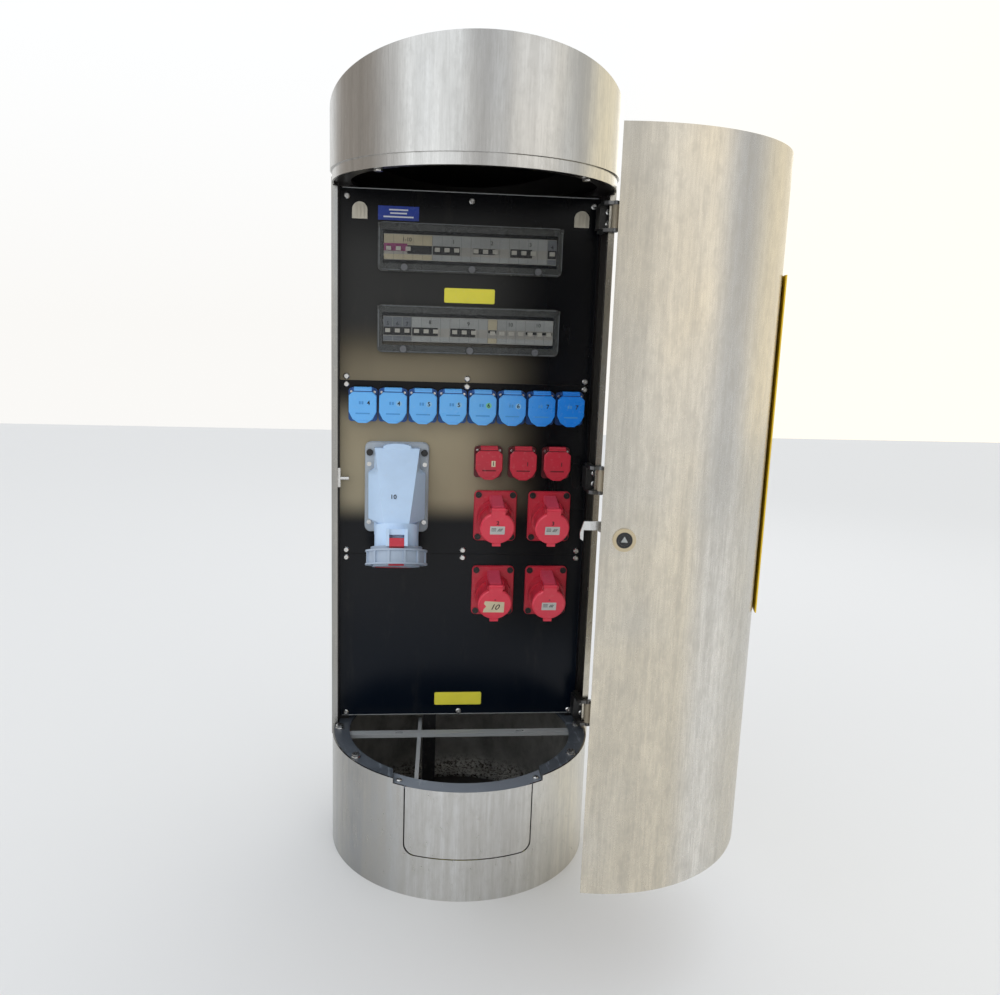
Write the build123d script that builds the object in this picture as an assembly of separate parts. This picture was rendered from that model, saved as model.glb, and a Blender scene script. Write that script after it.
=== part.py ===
from build123d import *
from math import asin, atan2, cos, degrees, hypot, radians, sin, sqrt
import os

# A round stainless power bollard with its door open, in millimetres.
# Origin on the ground at the cylinder's axis, +Z up, the door side towards -Y.

# Body
BODY_R = 250.0          # outside of the door, the rear shell and the cap
SHEET = 3.0             # stainless sheet
SHELL_GAP = 0.5         # air between the outer shells and the tubes inside them
BASE_H = 215.7          # height of the base tube
LAP = 21.0              # how far the shells hang over the base tube
SHELL_H = 1039.0        # height of the door and the rear shell
CAP_SEAM = 5.0          # open seam between the shells and the cap
CAP_MID_H = 95.3        # height of the cap at its axis, above its lower edge
CAP_SLOPE = 16.15       # fall of the cap's top towards the back, degrees
CAP_RETURN = 12.0       # width of the cap's turned-in lower edge
RIM_H = 18.5            # height of the recessed rim under the cap
RIM_LEDGE = 22.0        # width of the ledge that carries the rim
CAP_RING_DROP = 14.7    # upper ring's lower face below the cap

# Door and its swing
JAMB_Y = 14.391         # door's closing edge behind the axis
JAMB_SEAM = 0.8         # seam between the closing edge and the rear shell, degrees
PIVOT_INSET = 2.0       # hinge axis inside the body's outside
PIVOT_Y = -28.0
DOOR_OPEN = 81.8        # how far the door stands open, degrees
HINGE_TO_REAR = 7.418   # from the hinge axis to the rear shell's edge, along the arc
HINGE_TO_DOOR = 7.854   # from the hinge axis to the door's edge
JAMB_FLANGE = 8.0       # turned-in edge of the rear shell
DOOR_FLANGE = 11.0      # turned-in hinge edge of the door

# Base
RING_T = 6.0            # thickness of the mounting rings
RING_W = 29.3           # width of both mounting rings
RING_DROP = 1.7         # ring's top below the tube's edge
RING_PLAY = 0.2         # ring to tube
GAP_ANGLE = 32.1        # half angle of the front gap in the base ring, degrees
HATCH_ANGLE = 27.1      # half angle of the front hatch, degrees
HATCH_SEAM = 2.2        # open line around the hatch
HATCH_LOW = 79.0        # lower edge of the hatch
HATCH_CORNER_R = 18.0
HATCH_DROP = 9.0        # hatch flange's top below the tube's edge
FOOT_T = 6.0            # foot flange
FOOT_W = 38.5
ANCHOR_INSET = 20.5     # anchor circle inside the tube
ANCHOR_R = 7.0
ANCHOR_COUNT = 4
TAB_T = 6.0             # welded tabs under the ring
TAB_W = 30.0
TAB_DEPTH = 20.0

# Equipment panels
PANEL_Y = 41.5          # front face
PANEL_T = 2.0
LIP_CLEAR = 0.149       # from the uprights' lips to the shell
PANEL_RISE = 6.0        # panel's lower edge above the base tube
PANEL_DROP = 17.7       # panel's upper edge below the cap
SPLIT_DROP_HIGH = 339.5 # the splits below the panel's upper edge
SPLIT_DROP_LOW = 668.5
PANEL_GAP = 1.0         # open line between two panels
FRAME_T = 2.5           # folded sheet of the frame behind the panels
FRAME_SIDE_GAP = 0.7
LIP_Y = 26.0            # front face of the uprights' lips
LIP_W = 9.2
SEAT_W = 18.0           # how far the frame reaches behind the panel's edge
STRAP_H = 34.0
SCREW_SIDE = 11.9       # screws from the panel's side edge
SCREW_INSET = 7.4       # from a panel's edge to its screws
TOP_INSET = 14.8
SCREW_HEAD_R = 5.5
SCREW_HEAD_H = 3.2
SCREW_R = 3.0
SCREW_SOCKET = 3.5
HOLE_PLAY = 0.2

# Circuit breakers
MODULE_W = 17.5
MODULES = 18

# Windows over the circuit breakers; heights are drops below the panel's upper edge
WINDOW_MARGIN = 10.5    # window's side edge from the outer module
WINDOW_H = 86.0
WINDOW_DROP_HIGH = 99.2
WINDOW_DROP_LOW = 244.0
WINDOW_FRAME_T = 5.0
WINDOW_BORDER = 9.0
WINDOW_OPENING_H = 58.0
COVER_T = 2.2
COVER_DEPTH = 11.0
COVER_GAP = 1.0         # cover to frame
COVER_INSET = 4.0       # cover edge inside the frame's edge
COVER_PIN_R = 1.5
PIN_PLAY = 0.1
KNOB_X = (-120.6, 1.5, 122.5)
KNOB_RISE = 7.0         # knob above the window's lower edge
KNOB_R = 6.0
KNOB_H = 2.6
KNOB_SHANK_R = 2.4

# Shape of a circuit breaker
NOSE_H = 45.0
NOSE_Y = 38.0
SHOULDER_Y = 58.0
RAIL_Y = 104.0
BREAKER_H = 85.0
RAIL_H = 35.0
RAIL_DEPTH = 7.5
RAIL_T = 1.5
TOGGLE_W = 9.0
TOGGLE_H = 7.0
TOGGLE_OUT = 6.5
TOGGLE_DROP = 3.0
TOGGLES_MOST = 3        # a wide device has its toggles over its first modules
# Modules of each device, left to right
UPPER_ROW = (5, 4, 4, 4, 1)
LOWER_ROW = (1, 1, 1, 4, 4, 1, 3, 3)

# Small sockets with sprung lids: width, flange height, lid height, well radius
BLUE_COUNT = 8
BLUE_SIDE = 14.1        # panel's side edge to the first socket's share of the row
BLUE_SPACE = 4.8        # between two blue lids
BLUE_X = 0.7
BLUE_DROP = 387.0
BLUE_H = 56.5
SMALL_RED_COUNT = 3
SMALL_RED_PITCH = 64.9
SMALL_RED_SIDE = 127.0  # middle socket from the panel's side edge
SMALL_RED_DROP = 490.5
SMALL_RED_W = 50.5
SMALL_RED_H = 54.5
SMALL_FLANGE_EXTRA = 2.5    # flange wider than its lid
SOCKET_FLANGE_T = 6.0
SOCKET_COLLAR = 13.5    # collar's length in front of the flange
SOCKET_LID_T = 7.0
SOCKET_WALL = 3.0
SOCKET_BODY_L = 24.0    # body behind the panel
BARREL_R = 4.2
BARREL_L = 32.0
BARREL_RISE = 4.5       # hinge axis above the lid's top edge
EAR_T = 3.0
LID_GAP = 0.3
LID_PIN_R = 1.5

# Large red sockets
LARGE_SIDES = (175.1, 70.6) # from the panel's right edge
LARGE_DROPS = (591.5, 740.0)
LARGE_W = 82.0
LARGE_H = 98.0
LARGE_FLANGE_T = 6.0
LARGE_CORNER_R = 9.0
LARGE_TILT = 15.0       # outlet turned down, degrees
LARGE_OUT = 40.0        # collar's length from the flange's front
LARGE_COLLAR_R = 31.0
LARGE_BORE_R = 26.5
LARGE_LID_R = 32.5
LARGE_LID_T = 8.0
LARGE_TIP = 4.0         # an ear's tip round its pin, clear of the lid's sweep
LARGE_SAG = 3.0         # outlet axis below the flange's middle, at the flange
STRAP_W = 26.0

# Big grey outlet, which points down and a little forward
OUTLET_SIDE = 106.7     # from the panel's left edge
OUTLET_DROP = 452.0     # flange's upper edge
OUTLET_H = 172.0
OUTLET_W = 120.0
OUTLET_FLANGE_T = 7.0
OUTLET_SCREW_DROP = 42.0    # upper screws below the flange's top
OUTLET_SCREW_RISE = 19.0    # lower screws above its lower edge
OUTLET_CAP_DX = 51.0        # corner caps from the middle
OUTLET_CAP_DROP = 20.0
OUTLET_HOOD_W = 106.0
OUTLET_HOOD_TOP_W = 84.0
OUTLET_NOSE_W = 36.0    # flat nose between the two ridges, at the neck
OUTLET_TILT = 18.0      # outlet axis from straight down, degrees
OUTLET_Y = -44.0        # where the outlet axis meets its mouth plane
OUTLET_MOUTH_DROP = 11.0    # mouth below the flange's lower edge
NECK_R = 40.0
NECK_L = 26.0
NECK_BORE_R = 34.0
HINGE_CLEAR = 6.0       # lid's edge to its hinge axis
YOKE_T = 6.0            # posts beside the lid's hinge block
YOKE_H = 28.0
OUTLET_LID_R = 47.0
OUTLET_LID_T = 20.0
LOCK_RING_R = 56.4
LOCK_RING_H = 27.0
RIB_COUNT = 12
RIB_W = 4.5
RIB_OUT = 3.6
LOCK_RING_EDGE = 3.0

# Lock
LOCK_ARC = 31.372       # lock from the door's closing edge, along the arc
LOCK_DROP = 507.0
ROSETTE_R = 15.5
ROSETTE_T = 2.5
LOCK_BODY_R = 11.0
LOCK_CORE_R = 7.5
HOOK_DEPTH = 25.0       # hook's middle behind the door's outside
HOOK_T = 4.0
KEY_SIDE = 8.0
PIN_R = 3.5
KEEPER_T = 2.5
PIN_ALONG = 44.0        # keeper's pin from the lock's axis, along the door
PIN_BELOW = 14.0        # and below it

# Hinges
HINGE_DROP_HIGH = 39.0
HINGE_DROP_MIDDLE = 509.0
HINGE_RISE_LOW = 30.3   # lower hinge above the panel's lower edge
BLOCK_HALF = 20.0
ARM_T = 6.0
KNUCKLE_R = 6.0
HINGE_PIN_R = 3.5

# Plates and clips
YELLOW_W = 96.0
YELLOW_DROP = 151.0
YELLOW_H = 502.0
YELLOW_T = 2.0
CLIP_SIDES = (34.9, 33.8)   # clips from the panel's side edges
CLIP_W = 27.0
CLIP_H = 29.0
CLIP_DROP = 53.0
CLIP_T = 4.0

# Bars and duct in the base
CROSS_BAR_Y = -10.5
CROSS_BAR_W = 17.0
CROSS_BAR_GAP = 21.5    # bar's end from the tube
BAR_SLOT_INSET = 104.0
DEPTH_BAR_W = 7.0
DEPTH_BAR_FRONT_X = -92.0
DEPTH_BAR_H = 8.0
DUCT_X = -57.0
DUCT_W = 25.0
DUCT_DEPTH = 26.0
DUCT_RISE = 184.3       # duct's upper end above the base tube
DUCT_T = 2.0

# Worked out from the sizes above
INNER_R = BODY_R - SHEET
TUBE_R = INNER_R - SHELL_GAP
TUBE_INNER_R = TUBE_R - SHEET
SHELL_LOW = BASE_H - LAP
SHELL_HIGH = SHELL_LOW + SHELL_H
CAP_LOW = SHELL_HIGH + CAP_SEAM
RIM_LOW = CAP_LOW - RIM_H
RING_HIGH = BASE_H - RING_DROP
RING_LOW = RING_HIGH - RING_T
RING_R = TUBE_INNER_R - RING_PLAY
HATCH_FLANGE_HIGH = BASE_H - HATCH_DROP
HATCH_FLANGE_LOW = HATCH_FLANGE_HIGH - RING_T
CAP_RING_LOW = CAP_LOW - CAP_RING_DROP
CAP_RING_HIGH = CAP_RING_LOW + RING_T
RING_INNER_R = RING_R - RING_W
FOOT_INNER_R = TUBE_INNER_R - FOOT_W
ANCHOR_PCD = 2 * (TUBE_INNER_R - ANCHOR_INSET)
GAP_HALF = TUBE_R * sin(radians(GAP_ANGLE))
PIVOT_X = BODY_R - PIVOT_INSET
PIVOT_ANGLE = degrees(atan2(PIVOT_Y, PIVOT_X))
DOOR_LEFT = 180 - degrees(asin(JAMB_Y / BODY_R))
REAR_RIGHT = PIVOT_ANGLE + degrees(HINGE_TO_REAR / BODY_R)
REAR_LEFT = DOOR_LEFT - JAMB_SEAM
DOOR_RIGHT = PIVOT_ANGLE - degrees(HINGE_TO_DOOR / BODY_R)
LIP_X = sqrt((INNER_R - LIP_CLEAR) ** 2 - (LIP_Y + FRAME_T) ** 2)
PANEL_HALF = LIP_X - LIP_W - FRAME_SIDE_GAP
PANEL_LOW = BASE_H + PANEL_RISE
PANEL_HIGH = CAP_LOW - PANEL_DROP
PANEL_SPLIT_HIGH = PANEL_HIGH - SPLIT_DROP_HIGH
PANEL_SPLIT_LOW = PANEL_HIGH - SPLIT_DROP_LOW
PANEL_BACK = PANEL_Y + PANEL_T
SCREW_X = PANEL_HALF - SCREW_SIDE
WINDOW_W = MODULES * MODULE_W + 2 * WINDOW_MARGIN
WINDOW_OPENING_W = WINDOW_W - 2 * WINDOW_BORDER
WINDOW_HIGH_Z = PANEL_HIGH - WINDOW_DROP_HIGH
WINDOW_LOW_Z = PANEL_HIGH - WINDOW_DROP_LOW
BLUE_PITCH = 2 * (PANEL_HALF - BLUE_SIDE) / BLUE_COUNT
BLUE_W = BLUE_PITCH - BLUE_SPACE
BLUE_Z = PANEL_HIGH - BLUE_DROP
SMALL_RED_X = PANEL_HALF - SMALL_RED_SIDE
LARGE_X = tuple(PANEL_HALF - side for side in LARGE_SIDES)
OUTLET_X = OUTLET_SIDE - PANEL_HALF
SMALL_RED_Z = PANEL_HIGH - SMALL_RED_DROP
LARGE_Z = tuple(PANEL_HIGH - drop for drop in LARGE_DROPS)
OUTLET_HIGH = PANEL_HIGH - OUTLET_DROP
OUTLET_LOW = OUTLET_HIGH - OUTLET_H
OUTLET_MOUTH_Z = OUTLET_LOW - OUTLET_MOUTH_DROP
LOCK_Z = PANEL_HIGH - LOCK_DROP
HINGE_Z = (PANEL_HIGH - HINGE_DROP_HIGH, PANEL_HIGH - HINGE_DROP_MIDDLE, PANEL_LOW + HINGE_RISE_LOW)
YELLOW_HIGH = PANEL_HIGH - YELLOW_DROP
YELLOW_LOW = YELLOW_HIGH - YELLOW_H
CLIP_X = (CLIP_SIDES[0] - PANEL_HALF, PANEL_HALF - CLIP_SIDES[1])
CLIP_LOW = PANEL_HIGH - CLIP_DROP
CROSS_BAR_HALF = TUBE_INNER_R - CROSS_BAR_GAP
DUCT_HIGH = BASE_H + DUCT_RISE
FRAME_BACK = PANEL_BACK + FRAME_T
WEB_X = PANEL_HALF + FRAME_SIDE_GAP
LOCK_ANGLE = DOOR_LEFT + degrees(LOCK_ARC / BODY_R)


def block(x0, x1, y0, y1, z0, z1):
    """A box between two corners."""
    return Pos((x0 + x1) / 2, (y0 + y1) / 2, (z0 + z1) / 2) * Box(x1 - x0, y1 - y0, z1 - z0)


def rod_z(x, y, r, z0, z1):
    return Pos(x, y, (z0 + z1) / 2) * Cylinder(r, z1 - z0)


def rod_y(x, z, r, y0, y1):
    return Pos(x, (y0 + y1) / 2, z) * Rot(90, 0, 0) * Cylinder(r, y1 - y0)


def rod_x(y, z, r, x0, x1):
    return Pos((x0 + x1) / 2, y, z) * Rot(0, 90, 0) * Cylinder(r, x1 - x0)


def front_plate(sketch, front, back):
    """A plate drawn as seen from the front, x to the right and z up."""
    return Pos(0, back, 0) * extrude(Plane.XZ * sketch, amount=back - front)


def side_profile(points, x0, x1):
    """A prism whose outline is drawn in y and z."""
    face = make_face(Polyline(*points, close=True))
    return Pos(x0, 0, 0) * extrude(Plane.YZ * face, amount=x1 - x0)


def plan_plate(points, z0, z1):
    """A flat plate whose outline is drawn in x and y."""
    face = make_face(Polyline(*points, close=True))
    return Pos(0, 0, z0) * extrude(face, amount=z1 - z0)


def sector(inner, outer, start, end, z0, z1):
    """Part of a ring, from one angle counter-clockwise to another."""
    far = CenterArc((0, 0), outer, start, end - start)
    near = CenterArc((0, 0), inner, start, end - start)
    face = make_face([far, Line(far @ 1, near @ 1), near, Line(near @ 0, far @ 0)])
    return Pos(0, 0, z0) * extrude(face, amount=z1 - z0)


def ring(inner, outer, z0, z1):
    return rod_z(0, 0, outer, z0, z1) - rod_z(0, 0, inner, z0 - 1, z1 + 1)


def polar(r, angle):
    return r * cos(radians(angle)), r * sin(radians(angle))


def swing(shape):
    """Turns a piece of the closed door to the pose in which it stands open."""
    return Pos(PIVOT_X, PIVOT_Y, 0) * Rot(0, 0, DOOR_OPEN) * Pos(-PIVOT_X, -PIVOT_Y, 0) * shape


def save(shape, name):
    """Writes one node; a list becomes a group of separate solids."""
    if isinstance(shape, (list, tuple)):
        shape = Compound(children=[s for item in shape for s in item.solids()])
    export_step(shape, "parts/" + name + ".step")


def flange_notch(z0, z1, half):
    """The space of the base ring's front gap."""
    return block(-half, half, -BODY_R, -RING_INNER_R / 2, z0, z1)


# Base tube with its foot flange, the tabs under the ring and the hatch opening
def hatch_outline(grow):
    """Hatch in a flat drawing that is wrapped on by projection: half width and corners."""
    half = TUBE_R * sin(radians(HATCH_ANGLE)) + grow
    low = HATCH_LOW - grow
    tall = BASE_H + 20 - low
    shape = Pos(0, low + tall / 2) * Rectangle(2 * half, tall)
    corners = shape.vertices().sort_by(Axis.Y)[:2]
    return fillet(corners, HATCH_CORNER_R)


def tab_angles():
    return (-148, -180, 128, 90, 52, 0, -32)


def base_tab(angle, z0, z1):
    tab = block(TUBE_INNER_R - TAB_DEPTH, TUBE_INNER_R + 1, -TAB_W / 2, TAB_W / 2, z0, z1)
    return Rot(0, 0, angle) * tab


def make_base_shell():
    tube = ring(TUBE_INNER_R, TUBE_R, 0, BASE_H)
    foot = ring(FOOT_INNER_R, TUBE_INNER_R + 1, 0, FOOT_T)
    shell = tube + foot
    for angle in tab_angles():
        shell += base_tab(angle, RING_LOW - TAB_T, RING_LOW)
    hatch_tab_low = HATCH_FLANGE_LOW - TAB_T
    for side in (-1, 1):
        turn = -90 + side * (HATCH_ANGLE + 4.5)
        tab = block(TUBE_INNER_R - TAB_DEPTH, TUBE_INNER_R + 1, -TAB_DEPTH / 2, TAB_DEPTH / 2,
                    hatch_tab_low, HATCH_FLANGE_LOW)
        shell += Rot(0, 0, turn) * tab
    shell -= front_plate(hatch_outline(0), -BODY_R - 5, -BODY_R / 2)
    shell -= block(-GAP_HALF, GAP_HALF, -BODY_R, -BODY_R / 2, HATCH_FLANGE_HIGH, BASE_H + 1)
    for i in range(ANCHOR_COUNT):
        x, y = polar(ANCHOR_PCD / 2, 45 + i * 360 / ANCHOR_COUNT)
        shell -= rod_z(x, y, ANCHOR_R, -1, FOOT_T + 1)
    for x, y in ring_bolt_places():
        shell -= rod_z(x, y, BOLT_R + HOLE_PLAY, RING_LOW - TAB_T - 1, RING_LOW + 1)
    for x, y in hatch_screw_places():
        shell -= rod_z(x, y, SCREW_R + HOLE_PLAY, hatch_tab_low - 1, HATCH_FLANGE_LOW + 1)
    return shell


# Hex bolts that hold the rings
BOLT_R = 4.0
BOLT_HEAD_AF = 13.0
BOLT_HEAD_H = 5.3
WASHER_R = 8.5
WASHER_T = 1.6
BOLT_RING_R = RING_R - 10.3
BOLT_ANGLES = (-148, -180, 0, -32)
CAP_BOLT_ANGLES = (-135, -45, 45, 135)


def ring_bolt_places():
    return [polar(BOLT_RING_R, a) for a in BOLT_ANGLES]


def hatch_screw_places():
    return [polar(BOLT_RING_R, -90 + side * (HATCH_ANGLE + 4.0)) for side in (-1, 1)]


def hex_bolt(x, y, seat, length, down=False):
    """Head and washer on a seat plane, shank through it."""
    head = Pos(0, 0, WASHER_T) * extrude(RegularPolygon(BOLT_HEAD_AF / 2, 6, major_radius=False),
                                         amount=BOLT_HEAD_H)
    bolt = head + rod_z(0, 0, WASHER_R, 0, WASHER_T) + rod_z(0, 0, BOLT_R, -length, 1)
    turn = Rot(180, 0, 0) if down else Rot(0, 0, 0)
    return Pos(x, y, seat) * turn * bolt


def make_base_ring():
    shape = ring(RING_INNER_R, RING_R, RING_LOW, RING_HIGH)
    shape -= flange_notch(RING_LOW - 1, RING_HIGH + 1, GAP_HALF)
    for x, y in ring_bolt_places():
        shape -= rod_z(x, y, BOLT_R + HOLE_PLAY, RING_LOW - 1, RING_HIGH + 1)
    return shape


def make_hex_bolts():
    bolts = [hex_bolt(x, y, RING_HIGH, RING_T + TAB_T + 4) for x, y in ring_bolt_places()]
    for angle in CAP_BOLT_ANGLES:
        x, y = polar(BOLT_RING_R, angle)
        bolts.append(hex_bolt(x, y, CAP_RING_LOW, RING_T + SHEET + 4, down=True))
    return bolts


# Hatch: a curved plate with a flat flange, held by two screws
def make_hatch():
    plate = ring(TUBE_INNER_R, TUBE_R, HATCH_LOW - 5, HATCH_FLANGE_HIGH)
    plate &= front_plate(hatch_outline(-HATCH_SEAM), -BODY_R - 5, -BODY_R / 2)
    flange = ring(RING_INNER_R, TUBE_INNER_R + 0.5, HATCH_FLANGE_LOW, HATCH_FLANGE_HIGH)
    flange &= block(-GAP_HALF + 1, GAP_HALF - 1, -BODY_R, -BODY_R / 2,
                    HATCH_FLANGE_LOW, HATCH_FLANGE_HIGH)
    half = TUBE_R * sin(radians(HATCH_ANGLE)) - HATCH_SEAM
    flange -= ring(RING_R, BODY_R, HATCH_FLANGE_LOW - 1, HATCH_FLANGE_HIGH + 1) & (
        block(-BODY_R, -half, -BODY_R, 0, 0, BASE_H) + block(half, BODY_R, -BODY_R, 0, 0, BASE_H))
    shape = plate + flange
    for x, y in hatch_screw_places():
        shape -= rod_z(x, y, SCREW_R + HOLE_PLAY, HATCH_FLANGE_LOW - 1, HATCH_FLANGE_HIGH + 1)
    return shape


# Flat bars across the base
def make_base_bars():
    low = HATCH_FLANGE_LOW
    cross = block(-CROSS_BAR_HALF, CROSS_BAR_HALF, CROSS_BAR_Y - CROSS_BAR_W / 2,
                  CROSS_BAR_Y + CROSS_BAR_W / 2, low, RING_LOW)
    slot_x = CROSS_BAR_HALF - BAR_SLOT_INSET
    for x in (-slot_x, slot_x):
        slot = Pos(x, CROSS_BAR_Y, low) * extrude(SlotOverall(16, 6), amount=RING_LOW - low)
        cross -= slot
    front = (DEPTH_BAR_FRONT_X, -sqrt(TUBE_INNER_R ** 2 - DEPTH_BAR_FRONT_X ** 2) + 5)
    back = (DUCT_X - DUCT_W / 2 - DEPTH_BAR_W / 2 - 1.5, FRAME_BACK + DUCT_DEPTH)
    angle = degrees(atan2(back[1] - front[1], back[0] - front[0]))
    length = hypot(back[0] - front[0], back[1] - front[1])
    middle = ((front[0] + back[0]) / 2, (front[1] + back[1]) / 2, low - DEPTH_BAR_H / 2)
    depth = Pos(*middle) * Rot(0, 0, angle) * Box(length, DEPTH_BAR_W, DEPTH_BAR_H)
    return [cross, depth]


def make_duct():
    y0, y1 = FRAME_BACK, FRAME_BACK + DUCT_DEPTH
    x0, x1 = DUCT_X - DUCT_W / 2, DUCT_X + DUCT_W / 2
    outer = block(x0, x1, y0, y1, 0, DUCT_HIGH)
    return outer - block(x0 + DUCT_T, x1 - DUCT_T, y0 + DUCT_T, y1 - DUCT_T, -1, DUCT_HIGH + 1)


# Rear shell with turned-in edges at both jambs
def make_rear_shell():
    shell = sector(INNER_R, BODY_R, REAR_RIGHT, REAR_LEFT, SHELL_LOW, SHELL_HIGH)
    turn = degrees(SHEET / BODY_R)
    tip = INNER_R - JAMB_FLANGE
    top = RIM_LOW - 1
    shell += sector(tip, INNER_R + 0.5, REAR_RIGHT, REAR_RIGHT + turn, BASE_H, top)
    shell += sector(tip, INNER_R + 0.5, REAR_LEFT - turn, REAR_LEFT, BASE_H, top)
    return shell


# Cap: a tube cut on a slope, closed by a sloping top, on a recessed rim
def under_slope(drop):
    """Everything below the cap's sloping top, lowered by some sheet."""
    reach = 2.0 * BODY_R
    top = CAP_LOW + CAP_MID_H - drop / cos(radians(CAP_SLOPE))
    slab = Rot(-CAP_SLOPE, 0, 0) * Pos(0, 0, -reach) * Box(2 * reach, 2 * reach, 2 * reach)
    return Pos(0, 0, top) * slab


def make_cap_shell():
    tall = CAP_MID_H + BODY_R
    outside = rod_z(0, 0, BODY_R, CAP_LOW, CAP_LOW + tall) & under_slope(0)
    inside = rod_z(0, 0, INNER_R, CAP_LOW + SHEET, CAP_LOW + tall) & under_slope(SHEET)
    return outside - inside - rod_z(0, 0, BODY_R - CAP_RETURN, CAP_LOW - 1, CAP_LOW + 2 * SHEET)


def make_cap_rim():
    wall = ring(TUBE_INNER_R, TUBE_R, RIM_LOW, CAP_LOW)
    ledge = ring(TUBE_INNER_R - RIM_LEDGE, TUBE_INNER_R + 0.5, CAP_RING_HIGH, CAP_RING_HIGH + SHEET)
    shape = wall + ledge
    for angle in CAP_BOLT_ANGLES:
        x, y = polar(BOLT_RING_R, angle)
        shape -= rod_z(x, y, BOLT_R + HOLE_PLAY, CAP_RING_HIGH - 1, CAP_RING_HIGH + SHEET + 1)
    return shape


def make_cap_ring():
    shape = ring(RING_INNER_R, RING_R, CAP_RING_LOW, CAP_RING_HIGH)
    for angle in CAP_BOLT_ANGLES:
        x, y = polar(BOLT_RING_R, angle)
        shape -= rod_z(x, y, BOLT_R + HOLE_PLAY, CAP_RING_LOW - 1, CAP_RING_HIGH + 1)
    return shape


# Welded frame: two folded uprights and the straps between them
def strap_heights():
    return (PANEL_LOW, PANEL_SPLIT_LOW, PANEL_SPLIT_HIGH, PANEL_HIGH)


def make_inner_frame():
    z0, z1 = RING_HIGH, CAP_RING_LOW
    inner, outer = WEB_X, WEB_X + FRAME_T
    seat = WEB_X - SEAT_W
    half = [(outer + LIP_W - FRAME_T, LIP_Y), (inner, LIP_Y), (inner, PANEL_BACK), (seat, PANEL_BACK),
            (seat, FRAME_BACK), (outer, FRAME_BACK), (outer, LIP_Y + FRAME_T),
            (outer + LIP_W - FRAME_T, LIP_Y + FRAME_T)]
    frame = plan_plate(half, z0, z1)
    frame += mirror(frame, about=Plane.YZ)
    lows = (PANEL_LOW, PANEL_SPLIT_LOW - STRAP_H / 2, PANEL_SPLIT_HIGH - STRAP_H / 2,
            PANEL_HIGH - STRAP_H)
    for low in lows:
        frame += block(-seat - 1, seat + 1, PANEL_BACK, FRAME_BACK, low, low + STRAP_H)
    for x, z in panel_screw_places():
        frame -= rod_y(x, z, SCREW_R + HOLE_PLAY, PANEL_BACK - 1, FRAME_BACK + 1)
    for x in (blue_x(0), blue_x(BLUE_COUNT - 1)):
        frame -= rod_y(x, BLUE_Z, small_body_r(BLUE_W) + 1, PANEL_BACK - 1, FRAME_BACK + 1)
    frame -= ring(RING_R, 2 * BODY_R, 0, BASE_H + HOLE_PLAY)
    frame -= ring(RING_R, 2 * BODY_R, RIM_LOW - HOLE_PLAY, CAP_LOW)
    return frame


# Three black panels and their screws
def panel_screw_places():
    rows = (PANEL_LOW + SCREW_INSET - 1, PANEL_SPLIT_LOW - SCREW_INSET, PANEL_SPLIT_LOW + SCREW_INSET,
            PANEL_SPLIT_HIGH - SCREW_INSET, PANEL_SPLIT_HIGH + SCREW_INSET, PANEL_HIGH - TOP_INSET)
    return [(x, z) for z in rows for x in (-SCREW_X, 0, SCREW_X)]


def make_panel(low, high, cutouts):
    """A flat panel with its screw holes and cut-outs."""
    panel = block(-PANEL_HALF, PANEL_HALF, PANEL_Y, PANEL_BACK, low, high)
    for x, z in panel_screw_places():
        if low < z < high:
            panel -= rod_y(x, z, SCREW_R + HOLE_PLAY, PANEL_Y - 1, PANEL_BACK + 1)
    for cut in cutouts:
        panel -= cut
    return panel


def button_screw(head_y, length):
    """A button-head screw on the axis x = z = 0, head towards -Y at head_y."""
    head = rod_y(0, 0, SCREW_HEAD_R, head_y - SCREW_HEAD_H, head_y)
    head = chamfer(head.edges().sort_by(Axis.Y)[0], 1.6)
    head -= Pos(0, head_y - SCREW_HEAD_H, 0) * Rot(90, 0, 0) * extrude(
        RegularPolygon(SCREW_SOCKET / 2, 6, major_radius=False), amount=-1.8)
    return head + rod_y(0, 0, SCREW_R, head_y - 1, head_y + length)


def make_panel_screws():
    screw = button_screw(PANEL_Y, PANEL_T + FRAME_T + 6)
    screws = [Pos(x, 0, z) * screw for x, z in panel_screw_places()]
    for x, y in hatch_screw_places():
        flat = Pos(x, y, HATCH_FLANGE_HIGH) * Rot(-90, 0, 0) * button_screw(0, RING_T + TAB_T + 3)
        screws.append(flat)
    for z in HINGE_Z:
        for rise in (-BLOCK_HALF / 2, BLOCK_HALF / 2):
            place = Pos(HINGE_SCREW_X, 0, z + rise)
            screws.append(place * button_screw(BLOCK_FRONT, LIP_Y - BLOCK_FRONT - 2))
    return screws


# Windows
def window_plan(z):
    return Pos(0, z) * RectangleRounded(WINDOW_W, WINDOW_H, 9)


FRAME_FRONT = PANEL_Y - WINDOW_FRAME_T
COVER_BACK = FRAME_FRONT - COVER_GAP
COVER_FRONT = COVER_BACK - COVER_DEPTH
COVER_W = WINDOW_W - 2 * COVER_INSET
COVER_H = WINDOW_H - 2 * COVER_INSET / 2
COVER_AXIS_Y = COVER_BACK - 3.0
COVER_AXIS_DROP = 3.0
SLOT_W = MODULES * MODULE_W + 2.0
SLOT_H = NOSE_H + 1.0


def cover_axis_z(z):
    return z + COVER_H / 2 - COVER_AXIS_DROP


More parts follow.
